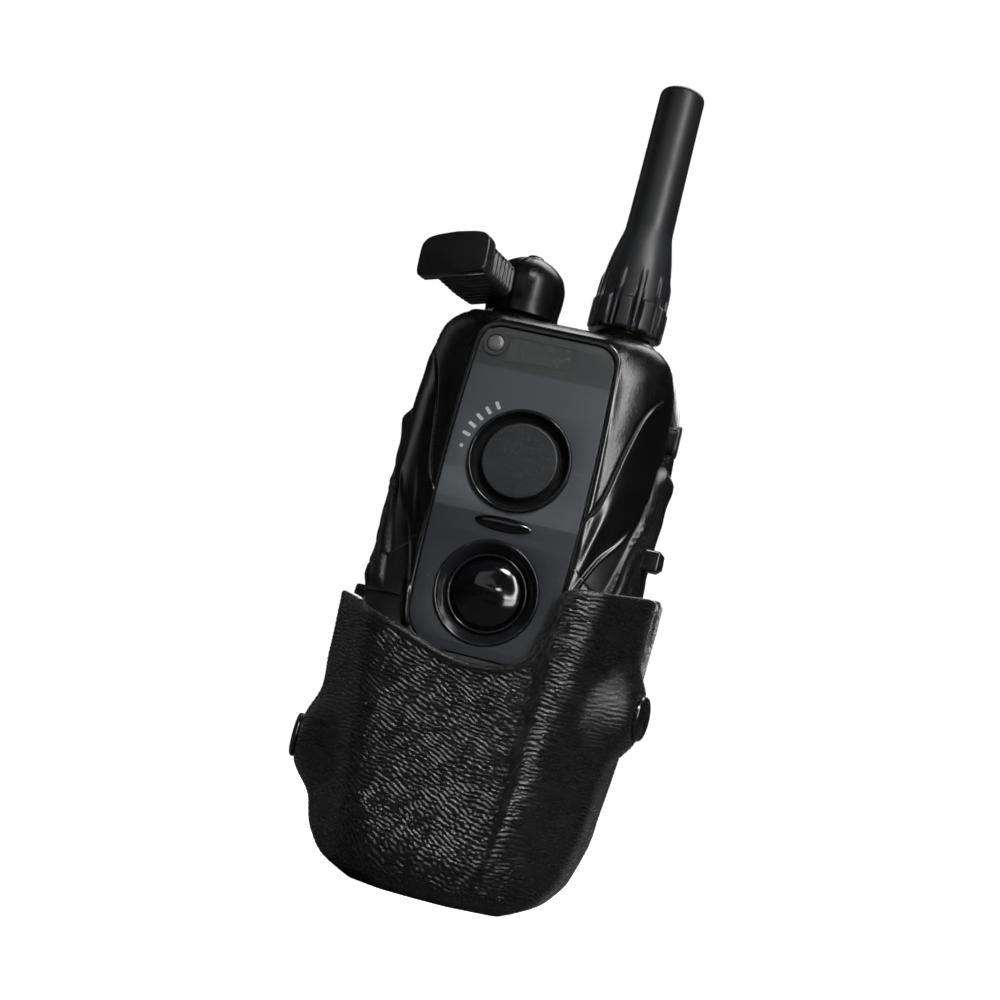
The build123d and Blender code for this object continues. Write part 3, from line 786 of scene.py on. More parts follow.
BLACK: Colour = (0.003, 0.003, 0.0033)
CASING = CasingFinish("casing_satin", BLACK, roughness=0.2, wear_and_edge_highlight=0.2, spread=0.04)
REAR_CASING = CasingFinish("casing_rear_satin", BLACK, roughness=0.24, wear_and_edge_highlight=0.2, spread=0.05)
LEATHER = LeatherFinish("holster_leather", (0.0035, 0.0034, 0.0037), roughness=0.27, mottle=0.3,
                        mottle_mm=9.0, wear_and_edge_highlight=0.3, spread=0.05)
LOOP_LEATHER = LeatherFinish("belt_loop_leather", (0.010, 0.010, 0.011), roughness=0.5, wear_and_edge_highlight=0.4, spread=0.06)
GRIP = Finish("grip_rubber", (0.0075, 0.0073, 0.0076), roughness=0.36, wear_and_edge_highlight=0.5, grain_depth=0.01)
PLATE = PlateFinish("plate_satin", (0.049, 0.053, 0.058), roughness=0.4, mottle=0.06, mottle_mm=20.0,
                    wear_and_edge_highlight=0.3, grain_mm=(0.12, 0.12, 0.12), grain_depth=0.002)
BEZEL = Finish("bezel_gloss", (0.007, 0.007, 0.008), roughness=0.17, wear_and_edge_highlight=0.6, grain_depth=0.004)
GLOSS = Finish("gloss_black", (0.0025, 0.0025, 0.003), roughness=0.13, wear_and_edge_highlight=0.3, spread=0.03,
               grain_depth=0.003, grain_mm=(1.2, 1.2, 1.2))
DISC = ScuffedFinish("pager_disc", (0.012, 0.013, 0.014), roughness=0.4, mottle=0.15, wear_and_edge_highlight=0.4,
                     grain_depth=0.005)
# its strong edge lightening paints the bright highlight line along the cap's bevels
CAP = Finish("lever_cap_satin", (0.0125, 0.0125, 0.013), roughness=0.2, wear_and_edge_highlight=0.7, spread=0.04,
             grain_depth=0.004)
BOOT = Finish("boot_rubber", (0.0012, 0.0012, 0.0013), roughness=0.85, wear_and_edge_highlight=0.05, specular=0.2)
WINDOW = Finish("display_glass", (0.037, 0.043, 0.041), roughness=0.22, mottle=0.15, wear_and_edge_highlight=0.0)
LCD = Finish("lcd_grey", (0.16, 0.18, 0.15), roughness=0.35, mottle=0.1, wear_and_edge_highlight=0.1)
LED = Finish("led_milk", (0.11, 0.11, 0.113), roughness=0.42, mottle=0.2, mottle_mm=1.5, wear_and_edge_highlight=0.0)
SLEEVE = Finish("antenna_rubber", (0.0125, 0.013, 0.0145), roughness=0.43, mottle=0.15, wear_and_edge_highlight=0.6,
                grain_mm=(0.5, 0.5, 0.5), grain_depth=0.02, spread=0.05)
HUB = Finish("hub_rubber", (0.0025, 0.0025, 0.003), roughness=0.3, wear_and_edge_highlight=0.3, spread=0.05, specular=0.3)
LEVER = Finish("lever_rubber", (0.0065, 0.0065, 0.007), roughness=0.34, wear_and_edge_highlight=0.9)
NECK = Finish("neck_gloss", (0.004, 0.004, 0.0045), roughness=0.13, wear_and_edge_highlight=0.4, coat=0.3, grain_depth=0.004)
SNAP = Finish("snap_enamel", (0.009, 0.009, 0.01), roughness=0.2, wear_and_edge_highlight=1.6, coat=0.4, metal=0.3)
STEEL = Finish("steel", (0.42, 0.42, 0.44), roughness=0.3, metal=1.0, mottle=0.1, wear_and_edge_highlight=0.3)
BRASS = Finish("brass", (0.6, 0.44, 0.2), roughness=0.28, metal=1.0, mottle=0.1, wear_and_edge_highlight=0.3)
BOARD = BoardFinish("circuit_board", (0.012, 0.07, 0.022), roughness=0.35, wear_and_edge_highlight=0.1)
SHIELD = Finish("tinned_shield", (0.55, 0.56, 0.56), roughness=0.34, metal=1.0, mottle=0.08)
BATTERY = Finish("battery_wrap", (0.02, 0.05, 0.14), roughness=0.38, mottle=0.15)
SOCKET = Finish("socket_plastic", (0.02, 0.02, 0.021), roughness=0.4)
PRINT = Finish("printed_marks", (0.42, 0.43, 0.44), roughness=0.5, mottle=0.12, mottle_mm=0.6, wear_and_edge_highlight=0.0)


def dress_node(node: str, finish: Finish) -> None:
    """Put a finish on a part that keeps its design shape.

    Args:
        node: the part's name.
        finish: what it is dressed in.
    """
    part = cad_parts[node]
    part.data.materials.clear()
    part.data.materials.append(finish.material())
    log.info("dressed %s in %s", node, finish.name)


# ---------------------------------------------------------------- leather holster
def section_radius(half: float, front: float, back: float, corner: float, flat: float,
                   angles: np.ndarray) -> np.ndarray:
    """Distance from the upright axis to the holster's section, in each direction.

    Args:
        half: half its width.
        front: its nearest Y.
        back: its farthest Y.
        corner: radius of its back corners, and depth of the bevels on its front ones.
        flat: half the width of its front face.
        angles: directions in radians, anticlockwise from +X.

    Returns:
        One distance for each direction.
    """
    side = [(0.0, front - 0.3), (0.6 * flat, front), (flat, front + 0.6), (half - 0.8, front + corner + 1.5),
            (half, front + corner + 5.0), (half, back - 0.3 * corner),
            (half - 0.3 * corner, back), (0.0, back)]
    line = refine(soften(side, 3.6, 9), 0.5)
    line = mirrored(line)
    turn = np.arctan2(line[:, 1], line[:, 0]) % (2 * math.pi)
    order = np.argsort(turn)
    size = np.linalg.norm(line, axis=1)
    return np.interp(angles % (2 * math.pi), turn[order], size[order], period=2 * math.pi)


@dataclass
class Holster:
    """The moulded leather holster: front and back panels, belt loop, rivets and side snaps."""

    leather: float = 2.8
    back_y: float = 22.4
    seam_angle: float = math.radians(11.0)
    front_columns: int = 262
    back_columns: int = 170
    rows: int = 340
    sections: tuple[tuple[float, ...], ...] = (
        (0.0, 18.5, -14.0, 16.0, 8.0), (3.0, 25.5, -18.0, 19.6, 10.0), (10.0, 30.8, -20.6, 21.6, 12.0),
        (20.0, 33.4, -21.9, 22.4, 13.0), (38.0, 35.2, -22.3, 22.4, 13.0), (60.0, 36.8, -22.3, 22.4, 13.0),
        (100.0, 38.0, -22.3, 22.4, 13.0))
    front_mouth: Line = (
        (-45.0, 67.0), (-31.8, 63.7), (-27.6, 61.6), (-17.1, 58.7), (-6.5, 55.4), (0.8, 54.3), (7.7, 55.1),
        (12.0, 56.8), (15.2, 59.8), (16.6, 64.4), (17.4, 70.0), (18.6, 74.4), (21.0, 76.0), (25.9, 77.0),
        (34.7, 79.0), (45.0, 81.5))
    back_mouth: Line = (
        (-45.0, 67.0), (-24.0, 71.0), (-19.0, 76.0), (-18.0, 88.0), (-13.0, 93.0), (13.0, 93.0), (18.0, 88.0),
        (20.0, 81.0), (26.0, 78.6), (45.0, 83.0))
    snaps: tuple[tuple[int, float, float], ...] = ((-1, 29.0, 34.8), (1, 52.0, 36.6))
    snap_turn: float = math.radians(10.0)
    boss_out: float = 3.2
    flat_half: tuple[float, ...] = (8.0, 10.5, 14.2, 17.4, 20.8, 24.0, 29.0)
    left_fold: Line = ((-30.5, 70.0), (-27.0, 58.0), (-24.5, 42.0), (-23.0, 26.0),
                                                  (-19.0, 12.0))
    rivets: Line = ((-11.0, 21.0), (11.0, 21.0), (-11.0, 84.0), (11.0, 84.0))

    def build(self) -> None:
        """Make every piece of the holster."""
        right, left = self.seam_angle, math.pi - self.seam_angle
        self.panel("holster_front_leather", "holster_front", left, right + 2 * math.pi, self.front_columns,
                   self.front_mouth, 1.0)
        self.panel("holster_back_leather", "holster_back", right, left, self.back_columns,
                   self.back_mouth, 0.6)
        self.loop()
        self.rivet_set()
        self.snap_set()

    def radii(self, angles: np.ndarray, heights: np.ndarray) -> np.ndarray:
        """Smooth distance from the axis to the leather's outside.

        Args:
            angles: directions, one for each column.
            heights: heights, rows by columns.

        Returns:
            Distances, rows by columns.
        """
        table = np.array([section_radius(*section[1:], flat, angles)
                          for section, flat in zip(self.sections, self.flat_half)])
        levels = np.array([section[0] for section in self.sections])
        fine = np.arange(-12.0, 112.0, 0.5)
        reach = np.exp(-np.arange(-8, 9) ** 2 / 18.0)
        reach /= reach.sum()
        made = np.empty_like(heights)
        for column in range(len(angles)):
            rising = (table[1, column] - table[0, column]) / (levels[1] - levels[0])
            line = np.interp(fine, levels, table[:, column])
            line[fine < 0] = table[0, column] + rising * fine[fine < 0]
            made[:, column] = np.interp(heights[:, column], fine, np.convolve(line, reach, "same"))
        return made

    def top_at(self, angles: np.ndarray, mouth: Sequence[tuple[float, float]]) -> np.ndarray:
        """Height of the mouth in each direction, with its corners eased."""
        x = section_radius(*self.sections[5][1:], self.flat_half[5], angles) * np.cos(angles)
        knots = curve_through(mouth, 400)
        line = np.interp(x, knots[:, 0], knots[:, 1])
        reach = np.exp(-np.arange(-2, 3) ** 2 / 2.0)
        padded_line = np.pad(line, 2, mode="edge")
        return np.convolve(padded_line, reach / reach.sum(), "valid")

    def relief(self, grid: np.ndarray, strength: float) -> tuple[np.ndarray, np.ndarray]:
        """Creases and folds of the leather.

        Args:
            grid: its outside, rows by columns by 3.
            strength: how deep the creases are on this panel.

        Returns:
            How far each point moves outwards, and 0 to 1 from the creases' bottoms to their crests.
        """
        points = grid.reshape(-1, 3)
        x, y, z = points.T
        flank = smooth_step(np.abs(x), np.interp(z, (15, 75), (17, 26)), np.interp(z, (15, 75), (24, 31)))
        around = np.where(y < 7, x + np.sign(x) * np.clip(y + 16, 0, 40), 200 + x)
        flow = Grain(5).layers(np.stack([around / 11, z / 9, 0 * z], axis=1), 2)
        lifted = z + 1.6 * flow
        slanted = Ripples(3, 1.0, 17.0, 34.0).at(around, lifted)
        level = Ripples(4, 0.95, 2.0, 24.0).at(around, lifted)
        pebbly = Ripples(6, 1.1, 30.0, 55.0).at(around, lifted)
        right = np.maximum(smooth_step(x, 8.0, 22.0), flank)
        low = 1 - smooth_step(z + 6 * flow, 14.0, 34.0)
        mixed = slanted * (1 - right) * (1 - low) + level * right + pebbly * (1 - right) * low
        mixed /= np.sqrt(right ** 2 + (1 - right) ** 2 * (low ** 2 + (1 - low) ** 2))
        crest = smooth_step(mixed, -1.2, 1.3)
        depth = strength * 0.4 * (1 - 0.7 * flank)
        billow = Grain(21).layers(np.stack([around / 17, z / 15, 0 * z + 5], axis=1), 2)
        out = depth * (crest - 1) + 0.5 * billow
        edge = distance_to_line(np.stack([x, z], axis=1), np.array(self.left_fold))
        out += np.where(y < -6, 0.15 * bell(edge, 2.6), 0)
        face_in = bell(x - 1.5, 15.0) * (y < -15) * smooth_step(z, 8, 20)
        out -= 0.35 * face_in
        return out.reshape(grid.shape[:2]), crest.reshape(grid.shape[:2])

    def swell(self, grid: np.ndarray) -> np.ndarray:
        """Push the leather out to a flat seat under each snap."""
        moved = grid.copy()
        for side, height, skin in self.snaps:
            face = np.array([side * math.cos(self.snap_turn), -math.sin(self.snap_turn), 0.0])
            away = moved - np.array([side * skin, -4.0, height])
            out = away @ face
            across = np.linalg.norm(away - out[..., None] * face, axis=-1)
            pull = (1 - smooth_step(across, 5.0, 15.0)) ** 1.4 * (out > -12)
            moved += ((self.boss_out - out) * pull)[..., None] * face
        return moved

    def panel(self, name: str, node: str, start: float, stop: float, columns: int,
              mouth: Sequence[tuple[float, float]], strength: float) -> None:
        """Make one leather panel as a closed shell.

        Args:
            name: the piece's name.
            node: the design's part that it stands for.
            start: direction of its first edge, in radians.
            stop: direction of its last edge.
            columns: points from edge to edge.
            mouth: its top line as (X, Z).
            strength: how deep its creases are.
        """
        even = np.linspace(start, stop, 2000)
        size = section_radius(*self.sections[4][1:], self.flat_half[4], even)
        spot = size[:, None] * np.stack([np.cos(even), np.sin(even)], axis=1)
        run = run_along(spot)
        angles = np.interp(np.linspace(0, run[-1], columns), run, even)
        top = self.top_at(angles, mouth)
        share = np.linspace(0, 1, self.rows)[:, None]
        heights = share * (top - 0.9)[None, :]
        outward = np.stack([np.cos(angles), np.sin(angles), 0 * angles], axis=1)[None]
        upward = np.array([0.0, 0.0, 1.0])
        skin = self.radii(angles, heights)[..., None] * outward + heights[..., None] * upward
        out, crest = self.relief(skin, strength)
        calm = smooth_step(heights, 0.0, 4.0) * smooth_step(top[None, :] - heights, 0.9, 2.4)
        skin = self.swell(skin)
        skin += grid_normals(skin, False, False) * (out * calm)[..., None]
        base = [skin[0] * share_in for share_in in (0.0, 0.3, 0.6, 0.85, 0.96)]
        rim = []
        for inwards, drop in ((0.12, 0.35), (0.45, 0.06), (1.1, 0.0), (1.7, 0.0), (2.35, 0.06), (2.68, 0.35)):
            rim.append(skin[-1] - outward[0] * inwards + (0.9 - drop) * upward)
        lining = []
        for level in np.linspace(1, 0, 22):
            row = round(level * (self.rows - 1))
            inner = skin[row] - outward[0] * self.leather
            inner[:, 2] = np.maximum(inner[:, 2], self.leather)
            lining.append(inner)
        floor = [lining[-1] * (share_in, share_in, 1.0) for share_in in (0.5, 0.0)]
        grid = np.stack([*base, *skin, *rim, *lining, *floor])
        rows = len(grid)
        first, last = len(base), len(base) + len(skin)
        # crest mark: low in the crease bottoms, which the leather finish paints in shade
        crests = np.ones(grid.shape[:2])
        crests[first:last] = crest * calm + (1 - calm)
        cuts = np.zeros(grid.shape[:2])
        cuts[last:last + len(rim)] = np.array([0.1, 0.8, 1.0, 1.0, 0.8, 0.3])[:, None]
        faces = grid_faces(rows, columns, False, False)
        faces.append([row * columns for row in range(rows)])
        faces.append([row * columns + columns - 1 for row in range(rows)][::-1])
        add_piece(name, grid, faces, LEATHER, Body.HOLSTER, [node], {"crest": crests, "cut": cuts})

    def loop(self) -> None:
        """Make the belt loop as one strap that stands off the back."""
        near, stand = self.back_y + self.leather / 2, self.back_y + 5.9 + self.leather / 2
        path = soften(((near, 15.1), (near, 27.3), (stand, 32.2), (stand, 72.8), (near, 77.7),
                       (near, 89.9)), 4.0, 9)
        path = refine(path, 0.8)
        outline = rounded_outline(33.0, self.leather, 0.7, 5)
        tangent = np.gradient(path, axis=0)
        tangent /= np.linalg.norm(tangent, axis=1, keepdims=True)
        rows = []
        for (y, z), (ty, tz) in zip(path, tangent):
            rows.append(np.array([0.0, y, z]) + outline[:, :1] * (1.0, 0.0, 0.0)
                        + outline[:, 1:] * (0.0, -tz, ty))
        grid = np.stack(rows)
        count, steps = grid.shape[:2]
        points = grid.reshape(-1, 3)
        ripple = Grain(31).layers(np.stack([points[:, 0] / 1.6, points[:, 2] / 1.0, points[:, 1]], axis=1), 2)
        body = grid - grid.mean(axis=1, keepdims=True)
        body[..., 0] *= 1 - 0.004 * ripple.reshape(count, steps)
        grid = grid.mean(axis=1, keepdims=True) + body
        faces = capped_faces(count, steps)
        # crest mark: low in the ripple troughs, which the leather finish paints in shade
        crest = np.clip(0.8 + 0.5 * ripple, 0, 1)
        cut = np.tile((np.abs(outline[:, 0]) > 16.1).astype(float), count)
        add_piece("belt_loop_strap", grid, faces, LOOP_LEATHER, Body.HOLSTER, ["belt_loop"],
                  {"crest": crest, "cut": cut})

    def rivet_set(self) -> None:
        """Make the four loop rivets with domed heads and inner washers."""
        shape = Shape()
        head, washer = self.back_y + self.leather, self.back_y - self.leather
        for x, z in self.rivets:
            profile = soften(((0.0, washer + 0.05), (3.2, washer + 0.1), (3.2, washer + 0.9),
                              (1.4, washer + 0.9), (1.4, head), (3.6, head), (3.6, head + 0.35),
                              (2.6, head + 0.9), (0.0, head + 1.0)), 0.3)
            made = turned(Axis((x, 0.0, z), (0.0, 1.0, 0.0)), profile, 48)
            shape.take(made.all_points(), made.faces)
        shape.piece("loop_rivet_set", SNAP, Body.HOLSTER, "snap", "loop_rivets")

    def snap_set(self) -> None:
        """Make the side snaps: enamelled caps with a rolled rim, and the studs behind them."""
        caps, studs = Shape(), Shape()
        for side, height, skin in self.snaps:
            face = (side * math.cos(self.snap_turn), -math.sin(self.snap_turn), 0.0)
            axis = Axis((side * skin, -4.0, height), face, (0.0, 0.0, 1.0))
            seat = self.boss_out
            cap = turned(axis, soften(((0.0, seat), (5.2, seat), (5.4, seat + 0.35), (5.1, seat + 1.1),
                                       (4.2, seat + 1.35), (3.9, seat + 1.05), (2.4, seat + 1.5),
                                       (0.0, seat + 1.75)), 0.35), 72)
            stud = turned(axis, soften(((0.0, -3.0), (4.2, -3.0), (4.2, -2.4), (1.5, -2.4), (1.5, seat),
                                        (0.0, seat)), 0.2), 48)
            caps.take(cap.all_points(), cap.faces)
            studs.take(stud.all_points(), stud.faces)
        caps.piece("snap_cap_pair", SNAP, Body.HOLSTER, "snap", "snap_caps")
        studs.piece("snap_stud_pair", STEEL, Body.HOLSTER, "snap", "snap_studs")


# ---------------------------------------------------------------- casing
@dataclass
class Casing:
    """The moulded casing: front with its face, shoulders and sweeping seams, rear, and side grips."""

    middle_z: float = 94.5
    parting_y: float = 9.0
    front_y: float = -18.5
    pocket_y: float = -16.95
    around: int = 820
    shoulder_rows: int = 58
    wall_rows: int = 40
    roundness: float = 1.9          # 2 would be a quarter circle
    shoulder_turn: Line = (
        (0.0, 26.0), (0.27, 36.0), (0.6, 50.0), (0.85, 62.0), (1.0, 75.0))
    silhouette: Line = (
        (0.0, 3.2), (17.5, 3.2), (23.0, 8.0), (27.5, 18.0), (30.3, 40.0), (31.8, 70.0), (32.5, 100.0),
        (32.2, 116.0), (30.9, 128.0), (28.2, 136.0), (23.5, 139.4), (0.0, 139.4))
    seam: Line = (
        (17.0, 91.6), (18.2, 92.6), (19.9, 95.6), (21.2, 100.0), (22.2, 105.5), (23.0, 110.2), (24.8, 117.9),
        (26.6, 122.6), (28.4, 125.4))
    fold: Line = (
        (16.4, 60.0), (18.2, 68.5), (20.3, 77.2), (23.2, 84.0), (26.7, 89.6), (28.8, 95.0), (29.8, 101.0))
    crest: Line = (
        (16.6, 62.0), (17.9, 71.0), (19.2, 80.0), (20.8, 88.0), (22.6, 96.0), (24.5, 104.0))

    def plate_outline(self, grow: float, count: int = 480) -> np.ndarray:
        """Outline of the face plate as (X, Z), anticlockwise from its right side.

        Args:
            grow: how far outside the plate's edge.
            count: how many points.

        Returns:
            The closed outline without a repeated point.
        """
        top, bottom = 133.2, 55.9
        height = np.linspace(65.3, 128.2, 60)
        half = 17.4 - 1.25 * ((height - self.middle_z) / 38.65) ** 2
        right = [np.stack([half, height], axis=1)]
        for centre, radius, first, last in (((half[-1] - 5.0, top - 5.0), 5.0, 0.0, 90.0),
                                            ((half[0] - 9.4, bottom + 9.4), 9.4, -90.0, 0.0)):
            turn = np.radians(np.linspace(first, last, 18))
            arc = np.stack([centre[0] + radius * np.cos(turn), centre[1] + radius * np.sin(turn)], axis=1)
            right = [arc, *right] if first < 0 else [*right, arc]
        loop = mirrored(np.vstack(right))
        loop = np.vstack([loop, loop[:1]])
        run = run_along(loop)
        wanted = np.linspace(0, run[-1], count, endpoint=False)
        even = np.stack([np.interp(wanted, run, loop[:, k]) for k in (0, 1)], axis=1)
        slope = np.roll(even, -1, axis=0) - np.roll(even, 1, axis=0)
        slope /= np.linalg.norm(slope, axis=1, keepdims=True)
        return even + grow * np.stack([slope[:, 1], -slope[:, 0]], axis=1)

    def reach(self, outline: np.ndarray, angles: np.ndarray) -> np.ndarray:
        """Distance from the face's middle to an outline in each direction."""
        away = outline - (0.0, self.middle_z)
        turn = np.arctan2(away[:, 1], away[:, 0]) % (2 * math.pi)
        order = np.argsort(turn)
        return np.interp(angles, turn[order], np.linalg.norm(away, axis=1)[order], period=2 * math.pi)

    def edge_outline(self) -> np.ndarray:
        """Outline of the casing at the parting plane as (X, Z)."""
        half = refine(soften(self.silhouette, 5.0, 9), 0.6)
        return mirrored(half)

    def directions(self) -> np.ndarray:
        """Directions of the columns, closer together where the casing shows."""
        even = np.linspace(0, 2 * math.pi, 4000)
        radius = 0.5 * (self.reach(self.plate_outline(0.3), even) + self.reach(self.edge_outline(), even))
        spot = radius[:, None] * np.stack([np.cos(even), np.sin(even)], axis=1)
        step = np.linalg.norm(np.diff(spot, axis=0), axis=1)
        shown = np.where(spot[:-1, 1] + self.middle_z < 56, 0.3, 1.0)
        run = np.concatenate([[0], np.cumsum(step * shown)])
        return np.interp(np.linspace(0, run[-1], self.around, endpoint=False), run, even)

    def skin(self, angles: np.ndarray) -> tuple[np.ndarray, np.ndarray]:
        """The front's plain outside, from the face plate's edge out and back to the parting plane.

        Args:
            angles: directions of the columns.

        Returns:
            Its points, rows by columns by 3, and how far each is from the plate's edge.
        """
        near = self.reach(self.plate_outline(0.3), angles)
        far = self.reach(self.edge_outline(), angles)
        span = far - near
        upright = smooth_step(np.sin(angles), 0.45, 0.85)
        sideways = 1 - smooth_step(np.abs(np.sin(angles)), 0.6, 0.9)
        depth = np.where(np.sin(angles) < -0.6, 9.0, 12.0)
        span = span - 1.2 * np.maximum(sideways, upright)
        even = np.linspace(0, 1, self.shoulder_rows)
        share = (0.5 * (1 - np.cos(even * math.pi / 2) ** 0.9) + 0.5 * even)[:, None]
        rounded = 1 - (1 - np.clip(share, 0, 1) ** self.roundness) ** (1 / self.roundness)
        slope = np.tan(np.radians(np.interp(share, *zip(*self.shoulder_turn))))
        slope = np.concatenate([[[0.0]], (slope[1:] + slope[:-1]) / 2 * np.diff(share, axis=0)])
        rolled = np.cumsum(slope, axis=0) / slope.sum()
        drop = depth * (rounded * (1 - sideways) + rolled * sideways)
        radius = near + share * span
        y = self.front_y + drop
        wall = np.linspace(0, 1, self.wall_rows + 1)[1:, None]
        rise = wall ** (1.3 - 0.85 * upright)
        radius = np.vstack([radius, radius[-1] + (far - radius[-1]) * rise])
        y = np.vstack([y, y[-1] + wall * (self.parting_y - 0.05 - y[-1])])
        z = self.middle_z + radius * np.sin(angles)
        low = np.clip((40 - z) / 37, 0, 1)
        y = np.where(y < 0, y + 5.0 * low ** 1.6 * (-y / 18.5), y)
        grid = np.stack([radius * np.cos(angles), y, z], axis=-1)
        return grid, radius - near

    def seam_side(self, x: np.ndarray, z: np.ndarray) -> np.ndarray:
        """Signed distance to the sweeping seam: above zero on the face's side."""
        line = curve_through(self.seam, 60)
        away = distance_to_line(np.stack([np.abs(x), z], axis=1), line)
        above = z > np.interp(np.abs(x), line[:, 0], line[:, 1], left=90.0, right=200.0)
        return np.where(above, away, -away)

    def relief(self, grid: np.ndarray, away: np.ndarray) -> tuple[np.ndarray, np.ndarray, np.ndarray]:
        """Raised and sunken features of the front.

        Args:
            grid: its plain outside.
            away: how far each point is from the plate's edge.

        Returns:
            How far each point moves outwards, where it is grainy, and where it is a groove, next to the
            plate's edge or sunken below the fold, which the finish paints in shade.
        """
        x, y, z = grid.reshape(-1, 3).T
        away = away.reshape(-1)
        front = 1 - smooth_step(y, -9.0, -6.0)
        flat = np.stack([np.abs(x), z], axis=1)
        side = self.seam_side(x, z)
        fold = distance_to_line(flat, curve_through(self.fold, 50))
        crest = distance_to_line(flat, curve_through(self.crest, 50))
        below_fold = z < np.interp(np.abs(x), *zip(*self.fold), right=101.0)
        out = 0.2 * bell(away - 0.9, 0.8) * (z > 50)
        out += front * 0.4 * smooth_step(side, -0.25, 0.25)
        out -= front * 0.55 * bell(side, 0.3)
        out += front * 0.5 * bell(crest, 1.5) * (side < 0) * (1 - smooth_step(z, 90, 102))
        out += front * 0.45 * bell(fold, 0.42) * (1 - smooth_step(z, 90, 99))
        sunk = smooth_step(fold, 0.1, 1.4) * below_fold * front
        out -= 0.9 * sunk * smooth_step(z, 50, 62)
        crown = 139.4 - z
        out += front * (0.3 * bell(crown - 1.4, 0.35) - 0.2 * bell(crown - 2.2, 0.3)) * (np.abs(x) < 25)
        ripple = Grain(41).layers(np.stack([x / 9, y / 9, z / 14], axis=1), 2)
        out += 0.12 * ripple
        grainy = smooth_step(side, 0.3, 1.2) * smooth_step(away, 1.4, 2.4) * (1 - smooth_step(y, -4.0, 2.0))
        # groove mask: the seam, the sunken area below the fold and the plate's edge; the finish paints these
        # in shade
        groove = front * bell(side, 0.34) * (z > 91)
        groove = np.maximum(groove, 0.7 * sunk)
        groove = np.maximum(groove, bell(away + 0.1, 0.35))
        shape = grid.shape[:2]
        return out.reshape(shape), grainy.reshape(shape), groove.reshape(shape)

    def build(self) -> None:
        """Make the front, the rear and the grips, and dress what is between them."""
        angles = self.directions()
        plain, away = self.skin(angles)
        normals = -grid_normals(plain, False, True)
        out, grainy, groove = self.relief(plain, away)
        outside = plain + normals * out[..., None]
        outside[..., 2] = np.minimum(outside[..., 2], 139.9)
        self.front(outside, grainy, groove)
        self.rear(angles)
        self.grips(plain, normals)
        dress_node("shell_gasket", BOOT)
        dress_node("case_screws", STEEL)

    def front(self, outside: np.ndarray, grainy: np.ndarray, groove: np.ndarray) -> None:
        """Make the front as a closed shell with its pocket behind the plate."""
        to_middle = outside[0] * (1, 0, 1) - (0, 0, self.middle_z)
        inwards = -to_middle / np.linalg.norm(to_middle, axis=1, keepdims=True)
        pocket = [outside[0] * (1, 0, 1) + (0, self.pocket_y, 0)]
        pocket.append(pocket[0] + 2.5 * inwards)
        pocket.append(pocket[1] + (0, 1.6, 0))
        lining = []
        for row in np.linspace(0, len(outside) - 1, 11).astype(int):
            inner = outside[row] - (0, 0, self.middle_z)
            inner = inner * (0.93, 1, 0.955) + (0, 0, self.middle_z)
            inner[:, 1] = np.minimum(np.maximum(inner[:, 1] + 1.9, -15.2), self.parting_y - 0.05)
            lining.append(inner)
        grid = np.stack([*pocket[::-1], *outside, *lining[::-1]])
        rows, columns = grid.shape[:2]
        marks = {}
        for label, values in (("grainy", grainy), ("groove", groove)):
            whole = np.full((rows, columns), 0.0)
            whole[len(pocket):len(pocket) + len(outside)] = values
            marks[label] = whole
        # the pocket behind the plate is painted fully in shade
        marks["groove"][:len(pocket)] = 1.0
        add_piece("front_casing", grid, grid_faces(rows, columns, True, True), CASING, Body.TRANSMITTER,
                  ["front_shell"], marks)

    def rear(self, angles: np.ndarray) -> None:
        """Make the rear as a closed shell with a rounded back."""
        columns = angles[::2]
        far = self.reach(self.edge_outline(), columns)
        depth = np.clip(0.3 * far, 5.0, 9.0)
        rows = []
        start = self.parting_y + 0.45
        for drop in (0.0, 0.1, 0.3, 0.6):
            rows.append((far - 0.35 * (1 - min(1, drop / 0.3)) ** 2, np.full(len(far), start + drop)))
        for t in np.linspace(0, 1, 34):
            turn = t * math.pi / 2
            rows.append((far - depth * (1 - math.cos(turn)),
                         start + 0.6 + (18.5 - start - 0.6) * math.sin(turn) + 0 * far))
        for share in (0.85, 0.6, 0.3, 0.0):
            rows.append(((far - depth) * share, 18.5 + 0 * far))
        for share in (0.0, 0.6, 0.9):
            rows.append(((far - 2.6) * share, 16.5 + 0 * far))
        rows.append((far - 2.2, np.full(len(far), start + 3.0)))
        rows.append((far - 2.0, np.full(len(far), start)))
        grid = np.stack([np.stack([r * np.cos(columns), np.minimum(y, 18.5),
                                   self.middle_z + r * np.sin(columns)], axis=-1) for r, y in rows])
        low = np.clip((30 - grid[..., 2]) / 27, 0, 1)
        grid[..., 1] = np.where(grid[..., 1] > start + 1, grid[..., 1] - 3.5 * low ** 1.5, grid[..., 1])
        points = grid.reshape(-1, 3)
        grainy = np.clip(smooth_step(points[:, 1], 10.5, 12.0), 0, 1)
        add_piece("rear_casing", grid, grid_faces(*grid.shape[:2], True, True), REAR_CASING, Body.TRANSMITTER,
                  ["rear_shell"], {"grainy": grainy, "groove": np.zeros(len(points))})

